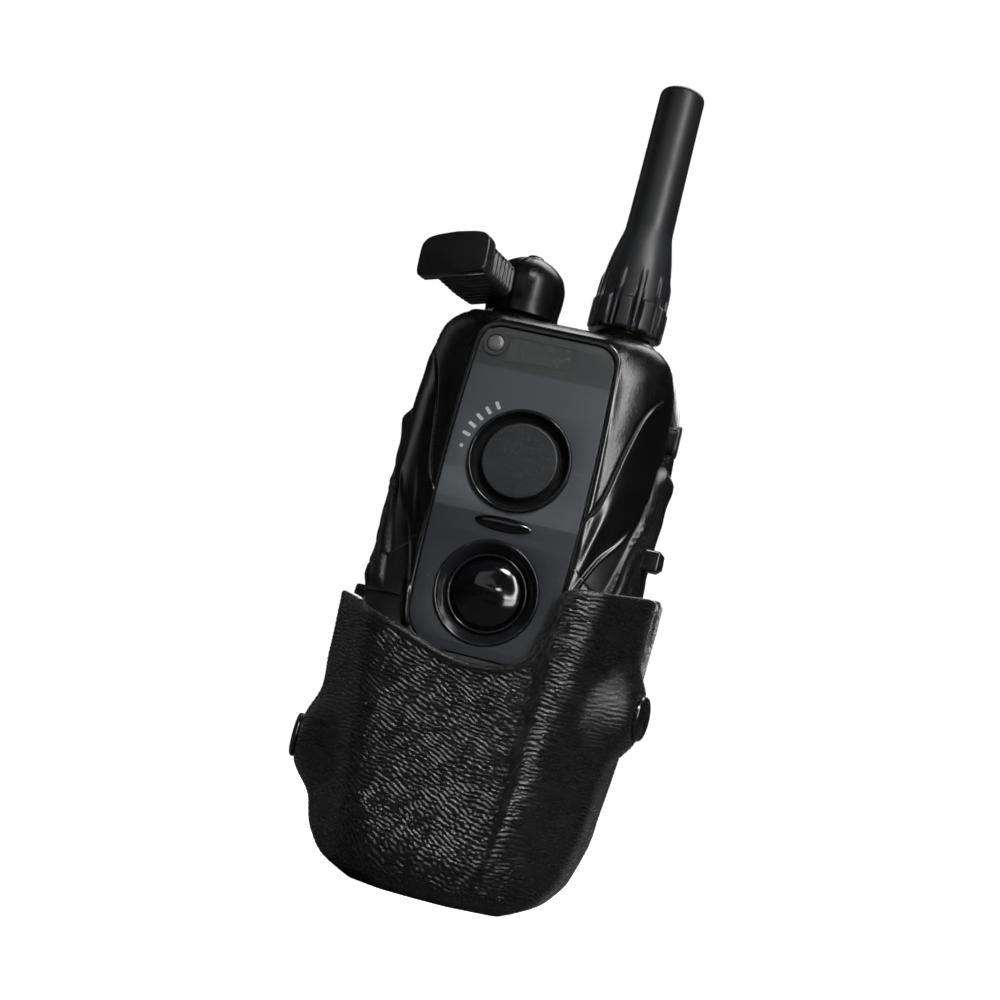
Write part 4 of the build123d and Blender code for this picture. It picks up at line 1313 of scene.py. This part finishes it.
    def grips(self, plain: np.ndarray, normals: np.ndarray) -> None:
        """Make the two rippled side grips on the casing's flanks."""
        for name, side in (("side_grip_left", -1), ("side_grip_right", 1)):
            height = np.linspace(66.0, 113.5, 150)
            row = np.arange(16, len(plain))
            patch, lean = [], []
            for at in row:
                chosen = plain[at][plain[at][:, 0] * side > 0]
                chosen_lean = normals[at][plain[at][:, 0] * side > 0]
                order = np.argsort(chosen[:, 2])
                patch.append(np.stack([np.interp(height, chosen[order, 2], chosen[order, k])
                                       for k in range(3)], axis=1))
                lean.append(np.stack([np.interp(height, chosen[order, 2], chosen_lean[order, k])
                                      for k in range(3)], axis=1))
            skin, lean = np.stack(patch), np.stack(lean)
            count, across = skin.shape[:2]
            run = np.cumsum(np.concatenate([np.zeros((1, across)),
                                            np.linalg.norm(np.diff(skin, axis=0), axis=2)]), axis=0)
            z = skin[..., 2]
            begin = np.interp(z, (66.0, 80.0, 95.0, 113.0), (5.0, 8.0, 12.0, 15.0))
            wave = run - begin + 0.9 * np.sin((z - 70) / 7.5) + 0.5 * np.sin((z - 64) / 3.1)
            ribs = 0.6 * (0.5 + 0.5 * np.cos(2 * math.pi * (wave - 1.2) / 3.1)) ** 1.4
            steps = 0.16 * (0.5 + 0.5 * np.sin((z - 70) / 1.53)) * smooth_step(run, 12.0, 16.0)
            inside = np.minimum(smooth_step(run - begin, 0.0, 1.2), smooth_step(run[-1] - run, 0.2, 1.0))
            ends = smooth_step(z, 66.0, 70.0) * (1 - smooth_step(z, 108.5, 113.5))
            shoulder = 1.1 * bell(z - 108.0, 3.6) * smooth_step(run, 14.0, 17.0)
            lift = -0.35 + (0.6 + ribs + steps + shoulder) * inside * ends
            outer = skin + lean * lift[..., None]
            outer[..., 1] = np.minimum(outer[..., 1], self.parting_y - 0.1)
            inner = skin - lean * 0.7
            grid = np.stack([outer, inner])
            faces = grid_faces(count, across, False, False)
            total = count * across
            faces += [[k + total for k in face[::-1]] for face in grid_faces(count, across, False, False)]
            border = ([(0, k) for k in range(across)] + [(k, across - 1) for k in range(1, count)]
                      + [(count - 1, k) for k in range(across - 2, -1, -1)]
                      + [(k, 0) for k in range(count - 2, 0, -1)])
            numbers = [r * across + c for r, c in border]
            for here, after in zip(numbers, numbers[1:] + numbers[:1]):
                faces.append([here, here + total, after + total, after])
            add_piece(f"{name}_rubber", grid, faces, GRIP, Body.TRANSMITTER, [name])


# ---------------------------------------------------------------- face plate and keys
def towards_front(z: float, x: float = 0.0) -> Axis:
    """The line that a key or ring on the face is turned about, pointing out of the face."""
    return Axis((x, 0.0, z), (0.0, -1.0, 0.0), (1.0, 0.0, 0.0))


def ring_about(axis: Axis, loop: np.ndarray, steps: int = 128) -> Shape:
    """Turn a closed profile that doesn't touch its axis.

    Args:
        axis: the middle line.
        loop: rows of (radius, distance along) right round the section, without a repeated point.
        steps: points round the axis.

    Returns:
        The closed surface.
    """
    origin, side, up, along = axis.frame()
    turn = np.linspace(0, 2 * math.pi, steps, endpoint=False)
    spoke = np.cos(turn)[:, None] * side + np.sin(turn)[:, None] * up
    grid = origin + loop[:, None, :1] * spoke[None] + loop[:, None, 1:] * along
    return Shape().take(grid, grid_faces(len(loop), steps, True, True))


def rounded_loop(points: Sequence[tuple[float, float]], radius: float) -> np.ndarray:
    """Round every corner of a closed profile."""
    corners = [tuple(p) for p in points]
    start = tuple((np.array(corners[0]) + corners[-1]) / 2)
    return soften([start, *corners, start], radius)[:-1]


@dataclass
class Face:
    """The face plate with its window, lamp, rings, ridge and the two keys."""

    plate_y: float = -18.5
    plate_back_y: float = -16.9
    bevel: float = 0.16
    pager_z: float = 102.6
    lower_z: float = 70.9
    ridge_z: float = 87.2
    mark_radius: float = 14.4
    lamp: tuple[float, float] = (-12.5, 129.0)
    window: tuple[float, float] = (-1.5, 128.4)
    window_size: tuple[float, float] = (15.4, 5.4)

    def build(self, casing: Casing) -> None:
        """Make the plate and everything on it.

        Args:
            casing: the casing whose pocket the plate lies in.
        """
        self.plate(casing.plate_outline(0.0, 260))
        self.rings()
        self.ridge()
        self.pager_key()
        self.lower_key()
        self.marks()
        for node, finish in (("display_window", WINDOW), ("lcd_module", LCD), ("led_bezel", BEZEL),
                             ("led_lens", LED), ("pager_boot", BOOT)):
            dress_node(node, finish)

    def plate(self, outline: np.ndarray) -> None:
        """Make the plate with bevelled edges and its four openings."""
        curve = bpy.data.curves.new("plate_lines", "CURVE")
        curve.dimensions, curve.fill_mode = "2D", "BOTH"
        circle = np.linspace(0, 2 * math.pi, 128, endpoint=False)
        rounds = [((0.0, self.pager_z), 12.33), ((0.0, self.lower_z), 12.43), (self.lamp, 2.15)]
        wide, high = self.window_size
        window = np.array([(-1, -1), (1, -1), (1, 1), (-1, 1)]) * (wide / 2, high / 2) + self.window
        loops = [outline, window] + [np.stack([x + r * np.cos(circle), z + r * np.sin(circle)], axis=1)
                                     for (x, z), r in rounds]
        for loop in loops:
            line = curve.splines.new("POLY")
            line.points.add(len(loop) - 1)
            line.use_cyclic_u = True
            line.points.foreach_set("co", np.concatenate([loop, np.zeros((len(loop), 1)),
                                                          np.ones((len(loop), 1))], axis=1).ravel())
        half = (self.plate_back_y - self.plate_y) / 2
        curve.extrude, curve.bevel_depth = half - self.bevel, self.bevel
        curve.bevel_resolution, curve.offset = 2, -self.bevel
        shaped = bpy.data.objects.new("plate_lines", curve)
        made = bpy.data.meshes.new_from_object(shaped)
        flat = np.array([v.co for v in made.vertices])
        faces = [list(face.vertices) for face in made.polygons]
        bpy.data.objects.remove(shaped)
        points = np.stack([flat[:, 0], -flat[:, 2] + self.plate_y + half, flat[:, 1]], axis=1)
        add_piece("face_plate_panel", points, faces, PLATE, Body.TRANSMITTER, ["face_plate"],
                  sharp_angle=20.0)

    def rings(self) -> None:
        """Make the ring round the pager key, and the dish and ring of the lower key."""
        bezel = rounded_loop(((11.25, 16.9), (12.3, 16.9), (12.3, 19.2), (11.95, 19.5), (11.6, 19.4),
                              (11.25, 18.7)), 0.3)
        dish = rounded_loop(((9.45, 15.35), (9.95, 15.35), (9.95, 16.9), (12.4, 16.9), (12.4, 18.75),
                             (12.1, 19.05), (11.75, 18.95), (11.0, 18.1), (9.45, 16.4)), 0.35)
        ring = rounded_loop(((8.7, 15.35), (9.4, 15.35), (9.4, 17.2), (9.05, 17.55), (8.7, 17.2)), 0.25)
        for name, node, z, loop in (("pager_ring", "pager_bezel", self.pager_z, bezel),
                                    ("lower_dish_bowl", "lower_dish", self.lower_z, dish),
                                    ("lower_key_ring", "lower_button_ring", self.lower_z, ring)):
            made = ring_about(towards_front(z), loop)
            made.piece(name, BEZEL, Body.TRANSMITTER, "gloss", node)

    def ridge(self) -> None:
        """Make the glossy lens-shaped ridge between the keys."""
        t = np.linspace(-1, 1, 60)
        top = np.stack([7.0 * t, 1.75 * (1 - np.abs(t) ** 2.2) ** 0.55], axis=1)
        outline = np.vstack([top, (top * (1, -1))[::-1][1:-1]])
        rows = []
        for s in 1 - np.linspace(0, 1, 18) ** 1.7:
            y = self.plate_y + 0.05 - 1.05 * (1 - s ** 2.4) ** 0.6
            rows.append(np.stack([outline[:, 0] * s, np.full(len(outline), y),
                                  self.ridge_z + outline[:, 1] * s], axis=1))
        base = np.stack([outline[:, 0], np.full(len(outline), self.plate_y + 0.1),
                         self.ridge_z + outline[:, 1]], axis=1)
        grid = np.stack([base * (0, 1, 0) + (0, 0, self.ridge_z), base, *rows])
        add_piece("locator_ridge_lens", grid, grid_faces(*grid.shape[:2]), GLOSS, Body.TRANSMITTER,
                  ["locator_ridge"])

    def marks(self) -> None:
        """Make the plain printed dot and bars that follow the pager ring's upper left."""
        shape = Shape()
        wide = 0.8
        bars = [(degrees, 2.0) for degrees in (165.0, 155.0, 145.0, 135.0, 125.0)]
        for degrees, long in [(177.0, wide), *bars]:
            turn = math.radians(degrees)
            out = (math.cos(turn), 0.0, math.sin(turn))
            centre = self.mark_radius * np.array(out) + (0.0, self.plate_y + 0.02, self.pager_z)
            bar = swept(Axis(tuple(centre), (0.0, -1.0, 0.0), out), ((0.0, 0.0, 0.0), (0.05, 0.0, 0.0)),
                        rounded_outline(long, wide, 0.24, 4))
            shape.take(bar.all_points(), bar.faces)
        shape.piece("printed_marks", PRINT, Body.TRANSMITTER, "plate")

    def pager_key(self) -> None:
        """Make the wide satin pager key."""
        profile = soften(((0.0, 13.2), (2.5, 13.2), (2.5, 14.0), (10.4, 14.0), (10.4, 14.8), (9.1, 14.8),
                          (9.1, 18.35), (8.8, 18.85), (8.1, 18.86), (0.0, 18.8)), 0.25)
        made = turned(towards_front(self.pager_z), refine(profile, 0.9), 144)
        made.piece("pager_key_disc", DISC, Body.PAGER_KEY, "button", "pager_button")

    def lower_key(self) -> None:
        """Make the glossy domed lower key, pressed into a soft swirl."""
        radius = np.linspace(7.95, 0, 44)
        dome = np.stack([radius, 17.0 + 2.3 * (1 - (radius / 7.95) ** 2) ** 0.85], axis=1)
        foot = soften(((0.0, 13.4), (2.5, 13.4), (2.5, 14.4), (9.0, 14.4), (9.0, 15.1), (7.95, 15.1),
                       (7.95, 16.9)), 0.2)
        made = turned(towards_front(self.lower_z), np.vstack([foot, dome[:-1], [[0.02, 19.3]]]), 144)
        points = made.all_points()
        x, z = points[:, 0], points[:, 2] - self.lower_z
        reach = np.hypot(x, z)
        turn = np.arctan2(z, x)
        wave = np.sin(2 * turn + 0.55 * reach + 0.6) * bell(reach - 4.0, 2.6) * 0.2
        wave += np.sin(1.7 * z + 0.9 * np.sin(0.5 * x)) * bell(z, 2.8) * bell(x, 5.5) * 0.12
        points[:, 1] -= np.where(points[:, 1] < -17.2, wave * smooth_step(reach, 0.3, 2.0), 0.0)
        add_piece("lower_key_dome", points, made.faces, GLOSS, Body.LOWER_KEY, ["lower_button"])


@dataclass
class SideParts:
    """The faceted side key and the charging cover on the right flank."""

    key_y: float = -2.0
    key_z: float = 88.7
    cover_z: float = 118.5

    def build(self) -> None:
        """Make both pieces."""
        out = Axis((0.0, self.key_y, self.key_z), (1.0, 0.0, 0.0), (0.0, 1.0, 0.0))
        key = swept(out, ((28.0, -1.0, -1.0), (28.8, -1.0, -1.0), (28.8, 0.0, 0.0), (35.2, 0.0, 0.0),
                          (35.5, 0.15, 0.15), (36.4, 0.85, 0.85), (36.6, 1.15, 1.15)),
                    rounded_outline(4.0, 5.2, 0.5, 5))
        key.piece("side_key_cap", BEZEL, Body.SIDE_KEY, "button", "side_button", sharp_angle=30.0)
        centre = Axis((0.0, 0.0, self.cover_z), (1.0, 0.0, 0.0), (0.0, 1.0, 0.0))
        cover = swept(centre, ((29.4, 0.7, 0.7), (32.2, 0.7, 0.7), (32.2, 0.0, 0.0), (32.8, 0.0, 0.0),
                               (33.1, 0.12, 0.12), (33.25, 0.45, 0.45), (33.3, 0.9, 0.9)),
                      rounded_outline(4.4, 8.2, 2.15, 9))
        cover.piece("charge_cover_plug", GRIP, Body.CHARGE_COVER, "boot", "charge_plug")


# ---------------------------------------------------------------- top controls
@dataclass
class Antenna:
    """The flexible antenna: ribbed rubber skirt, tapering neck and straight tube."""

    x: float = 13.6
    y: float = 1.5
    bottom: float = 141.95
    lugs: int = 10
    steps: int = 280

    def profile(self) -> np.ndarray:
        """The sleeve's plain profile as (radius, Z), from its mouth up to its tip."""
        outer = curve_through(((8.5, 142.3), (8.6, 147.0), (8.5, 152.0), (8.3, 156.0), (7.95, 159.3),
                               (7.3, 162.9),
                               (6.55, 166.2), (6.1, 168.2), (5.95, 170.0), (5.85, 176.0), (5.72, 190.0),
                               (5.65, 203.0)), 190)
        tip = curve_through(((5.65, 203.2), (5.63, 204.8), (5.35, 205.9), (4.4, 206.7), (2.6, 207.4),
                             (0.0, 207.8)), 24)
        return np.vstack([[(0.0, 147.2), (4.1, 147.1), (4.2, 143.6), (5.6, 143.5), (5.7, 142.0),
                           (8.1, 142.0)],
                          outer, tip])

    def ribs(self, spot: np.ndarray) -> np.ndarray:
        """Long and short raised ribs in turn, with rounded tops, and grooves between them."""
        radius, z, turn = spot[..., 0], spot[..., 1], spot[..., 2]
        phase = (turn / (2 * math.pi) * self.lugs) % 1.0
        short = np.abs(phase - 0.5) * 2 * math.pi * 8.4 / self.lugs
        long_rib = np.minimum(phase, 1 - phase) * 2 * math.pi * 8.4 / self.lugs
        shown = (radius > 5.0) & (z < 200) & (z > 142.1)
        wide = 1.75 - 0.02 * (z - 142)
        lug = (1 - smooth_step(short, wide - 0.45, wide)) * (1 - smooth_step(z, 149.4, 150.4))
        slim = (1 - smooth_step(long_rib, 0.4, 0.85)) * (1 - smooth_step(z, 155.0, 158.5))
        groove = bell(short - wide - 0.32, 0.22) * (1 - smooth_step(z, 149.5, 153.5))
        raised = 0.85 * lug + 0.5 * slim - 0.8 * groove
        return np.where(shown, raised * smooth_step(z, 141.9, 142.5), 0.0)

    def build(self) -> None:
        """Make the sleeve and dress what is inside it."""
        axis = Axis((self.x, self.y, 0.0))
        profile = refine(self.profile(), 0.42)
        profile = profile[np.concatenate([[True], np.linalg.norm(np.diff(profile, axis=0), axis=1) > 1e-6])]
        made = turned(axis, profile, self.steps, self.ribs)
        made.piece("antenna_rubber_sleeve", SLEEVE, Body.ANTENNA, "antenna", "antenna_sleeve")
        collar = ring_about(axis, rounded_loop(((4.05, 129.0), (6.9, 129.0), (6.9, 136.6), (8.2, 136.8),
                                                (8.35, 139.6),
                                                (7.4, 140.4), (6.9, 141.6), (4.05, 141.6)), 0.35))
        collar.piece("antenna_collar", NECK, Body.TRANSMITTER, "gloss", "antenna_socket")
        dress_node("antenna_stud", BRASS)
        dress_node("antenna_radiator", BRASS)


@dataclass
class LevelDial:
    """The level control: ribbed hub, ribbed lever and its glossy loaf-shaped end."""

    x: float = -12.4
    y: float = 1.5
    end: Place = (-27.8, -20.6, 148.4)
    back: Place = (0.368, 0.920, -0.100)
    side: Place = (-0.926, 0.349, -0.141)
    wide: float = 19.4
    high: float = 11.0

    def fan(self, spot: np.ndarray) -> np.ndarray:
        """Thin raised ridges that fan down from the hub's crown."""
        radius, z, turn = spot[..., 0], spot[..., 1], spot[..., 2]
        ridge = (0.5 + 0.5 * np.cos(turn * 22 + 0.8 * np.sin((z - 141) / 4))) ** 2
        fan = bell(turn - math.radians(215), math.radians(38))
        pleats = 0.12 * np.cos(turn * 5 + 0.7) * smooth_step(160.0 - z, 6.0, 12.0)
        shown = (radius > 2.6) & (z > 141.2)
        return np.where(shown, ((0.5 * ridge - 0.2) * fan + pleats) * smooth_step(z, 141.2, 143.0)
                        * smooth_step(radius, 2.6, 4.5), 0.0)

    def build(self) -> None:
        """Make the hub, the lever and its end, and dress the shaft, pot, nut and seal."""
        hub_axis = Axis((self.x, self.y, 0.0))
        outer = curve_through(((9.3, 141.0), (9.15, 143.4), (9.35, 146.0), (9.3, 149.2), (8.85, 151.2),
                               (8.0, 152.9),
                               (6.6, 154.4), (4.7, 155.7), (2.9, 156.5)), 80)
        inner = np.array([(0.0, 151.0), (2.0, 151.0), (2.0, 143.0), (6.2, 143.0), (6.2, 140.8), (8.9, 140.8)])
        knob = soften(((2.9, 156.5), (2.3, 156.8), (1.9, 157.4), (0.9, 157.6), (0.0, 157.6)), 0.4)
        hub = turned(hub_axis, np.vstack([inner, outer, knob[1:]]), 240, self.fan)
        hub.piece("dial_hub_crown", HUB, Body.LEVEL_DIAL, "lever", "dial_hub")
        lever = Axis(self.end, self.back, self.side)
        loaf = self.loaf()
        nose = [(0.0, 0.5, 0.5), (0.04, 0.32, 0.32), (0.14, 0.14, 0.14), (0.3, 0.04, 0.04), (0.5, 0.0, 0.0),
                (2.4, 0.0, 0.0), (2.65, 0.12, 0.12), (2.8, 0.4, 0.4), (3.0, 0.4, 0.4), (3.15, 0.12, 0.12),
                (3.35, 0.1, 0.1), (3.4, 0.4, 0.4)]
        cap = swept(lever, nose, loaf)
        cap.piece("lever_end_cap", CAP, Body.LEVEL_DIAL, "lever", "lever_cap", sharp_angle=40.0)
        self.grip(lever)
        arm = swept(lever, ((3.45, 0.2, 0.2), (3.6, 0.0, 0.0), (16.5, 0.0, 0.0), (22.3, 0.4, 0.2)),
                    rounded_outline(10.9, 5.5, 1.2, 5))
        arm.piece("lever_core", LEVER, Body.LEVEL_DIAL, "lever", "lever_arm")
        for node, finish in (("dial_shaft", STEEL), ("dial_pot", STEEL), ("dial_nut", STEEL),
                             ("dial_seal", BOOT)):
            dress_node(node, finish)

    def loaf(self) -> np.ndarray:
        """Outline of the lever's end: flat below, with broad rounded shoulders and a crowned top."""
        half, low, high = self.wide / 2, -self.high / 2, self.high / 2
        side = [(0.0, low), (half - 1.3, low), (half - 0.45, low + 0.4), (half - 0.05, low + 1.4),
                (half, low + 3.2),
                (half - 0.1, high - 3.8), (half - 0.5, high - 2.4), (half - 1.4, high - 1.3),
                (half - 2.8, high - 0.7), (half - 5.2, high - 0.3), (0.0, high)]
        line = refine(curve_through(side, 60), 0.4)
        return np.vstack([line, (line * (-1, 1))[::-1][1:-1]])

    def grip(self, lever: Axis) -> None:
        """Make the lever's rubber grip with rounded ribs right round it."""
        stations = [(3.5, 2.0, 2.0), (3.55, 0.9, 0.8)]
        for distance in np.linspace(3.7, 20.0, 150):
            rib = 0.5 + 0.5 * math.cos(2 * math.pi * (distance - 4.4) / 1.75)
            narrow = 0.1 * max(0.0, distance - 14.0)
            stations.append((distance, 0.75 - 0.75 * rib ** 0.7 + narrow,
                             0.7 - 0.65 * rib ** 0.7 + 0.6 * narrow))
        stations += [(20.4, 1.9, 1.6), (20.6, 3.2, 2.6)]
        made = swept(lever, stations, rounded_outline(15.8, 9.0, 2.5, 8, 0.3))
        points = made.all_points()
        points[:, 2] = np.maximum(points[:, 2], 140.9)
        add_piece("lever_grip_ribs", points, made.faces, LEVER, Body.LEVEL_DIAL, ["lever_grip"])


@dataclass
class Innards:
    """Parts inside the casing that keep their design shape."""

    finishes: tuple[tuple[str, Finish], ...] = (
        ("main_board", BOARD), ("board_screws", STEEL), ("button_switches", SOCKET), ("radio_shield", SHIELD),
        ("sounder", SOCKET), ("battery_pack", BATTERY), ("charge_jack", SHIELD))

    def build(self) -> None:
        """Dress each part."""
        for node, finish in self.finishes:
            dress_node(node, finish)


# ---------------------------------------------------------------- studio
@dataclass(frozen=True)
class Softbox:
    """One soft square lamp that faces a point."""

    name: str
    place: Place
    wide: float
    high: float
    power: float
    target: Place = (0.0, 0.0, 0.09)
    spread: float = 180.0           # degrees; less where a honeycomb grid is fitted

    def build(self) -> None:
        """Hang the lamp."""
        lamp = bpy.data.lights.new(self.name, "AREA")
        lamp.shape, lamp.size, lamp.size_y = "RECTANGLE", self.wide, self.high
        lamp.energy, lamp.spread = self.power, math.radians(self.spread)
        holder = bpy.data.objects.new(self.name, lamp)
        holder.location = self.place
        holder.rotation_euler = (Vector(self.target) - Vector(self.place)).to_track_quat("-Z", "Y").to_euler()
        bpy.context.scene.collection.objects.link(holder)


@dataclass
class Studio:
    """Pale floor, white surround, soft lamps and the camera."""

    camera_place: Place = (0.07397, -0.41035, 0.03299)
    right_of_face: float = math.radians(11.0)
    below_face: float = math.radians(8.5)
    roll: float = math.radians(14.4)
    lens: float = 62.64
    dim_light: float = 0.018        # the surround's strength as a light
    lamps: tuple[Softbox, ...] = (
        Softbox("key_right", (0.52, -0.62, 0.42), 0.13, 0.75, 6.0),
        Softbox("front_grid", (0.18, -0.5, 0.64), 0.4, 0.16, 0.17, (0.01, -0.02, 0.03), 18.0),
        Softbox("top_back", (0.1, 0.35, 0.75), 0.5, 0.3, 2.2),
        Softbox("fill_front", (-0.25, -0.85, 0.5), 0.5, 0.4, 0.45),
        Softbox("back_wide", (-0.15, 0.85, 0.3), 0.5, 0.4, 3.0),
        Softbox("edge_left", (-0.7, 0.2, 0.35), 0.15, 0.6, 0.15))

    def build(self) -> None:
        """Set up everything round the object."""
        self.camera()
        self.surround()
        self.floor()
        for lamp in self.lamps:
            lamp.build()
        bpy.context.scene.view_settings.view_transform = "Standard"

    def camera(self) -> None:
        """Place the camera low in front, a little to the right, rolled so that the object leans."""
        a, b, r = self.right_of_face, self.below_face, self.roll
        looks = Vector((-math.sin(a) * math.cos(b), math.cos(a) * math.cos(b), math.sin(b)))
        level = looks.cross(Vector((0, 0, 1))).normalized()
        above = level.cross(looks)
        right = math.cos(r) * level + math.sin(r) * above
        up = math.cos(r) * above - math.sin(r) * level
        data = bpy.data.cameras.new("camera")
        data.lens, data.sensor_width = self.lens, 36.0
        data.clip_start, data.clip_end = 0.01, 50.0
        camera = bpy.data.objects.new("camera", data)
        bpy.context.scene.collection.objects.link(camera)
        turn = Matrix((right, up, -looks)).transposed().to_4x4()
        camera.matrix_world = Matrix.Translation(self.camera_place) @ turn
        bpy.context.scene.camera = camera

    def surround(self) -> None:
        """White backdrop to look at, with dim light from it."""
        world = bpy.data.worlds.new("surround")
        world.use_nodes = True
        bpy.context.scene.world = world
        tree = world.node_tree
        tree.nodes.clear()
        out = tree.nodes.new("ShaderNodeOutputWorld")
        mix = tree.nodes.new("ShaderNodeMixShader")
        rays = tree.nodes.new("ShaderNodeLightPath")
        for index, strength in enumerate((self.dim_light, 1.0)):
            glow = tree.nodes.new("ShaderNodeBackground")
            glow.inputs["Color"].default_value = (1.0, 1.0, 1.0, 1.0)
            glow.inputs["Strength"].default_value = strength
            tree.links.new(glow.outputs[0], mix.inputs[1 + index])
        tree.links.new(rays.outputs["Is Camera Ray"], mix.inputs[0])
        tree.links.new(mix.outputs[0], out.inputs["Surface"])

    def floor(self) -> None:
        """A pale floor, faintly mottled and nearly as bright as the backdrop."""
        size = 6.0
        points = np.array([(-size, -size, 0.0), (size, -size, 0.0), (size, size, 0.0), (-size, size, 0.0)])
        mesh = bpy.data.meshes.new("pale_floor")
        mesh.from_pydata(points.tolist(), [], [[0, 1, 2, 3]])
        bench = Bench("pale_floor")
        drift = bench.noise((60.0, 60.0, 60.0), 3.0)
        bench.join(bench.blend(drift, (0.8, 0.8, 0.8), (0.84, 0.84, 0.84)), bench.shader, "Base Color")
        bench.set(Roughness=0.9, Specular_IOR_Level=0.1, Emission_Color=(1.0, 1.0, 1.0),
                  Emission_Strength=1.0)
        nodes = bench.tree.nodes
        dull, mix, rays = (nodes.new(kind) for kind in ("ShaderNodeBsdfDiffuse", "ShaderNodeMixShader",
                                                        "ShaderNodeLightPath"))
        dull.inputs["Color"].default_value = (0.1, 0.1, 0.1, 1.0)
        bench.join(rays.outputs["Is Camera Ray"], mix, 0)
        bench.join(dull.outputs[0], mix, 1)
        bench.join(bench.shader.outputs[0], mix, 2)
        bench.join(mix.outputs[0], bench.out, "Surface")
        mesh.materials.append(bench.material)
        floor = bpy.data.objects.new("pale_floor", mesh)
        bpy.context.scene.collection.objects.link(floor)
        floor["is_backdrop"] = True


def corners() -> list[list[float]]:
    """The shown object's lowest and highest corners, in metres."""
    return [list(corner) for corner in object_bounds()]


def main() -> None:
    """Build every piece in order."""
    logging.basicConfig(level=logging.INFO, format="%(name)s: %(message)s")
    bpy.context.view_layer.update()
    Studio().build()
    Holster().build()
    casing = Casing()
    casing.build()
    Face().build(casing)
    SideParts().build()
    Antenna().build()
    LevelDial().build()
    Innards().build()


if __name__ == "__main__":
    main()
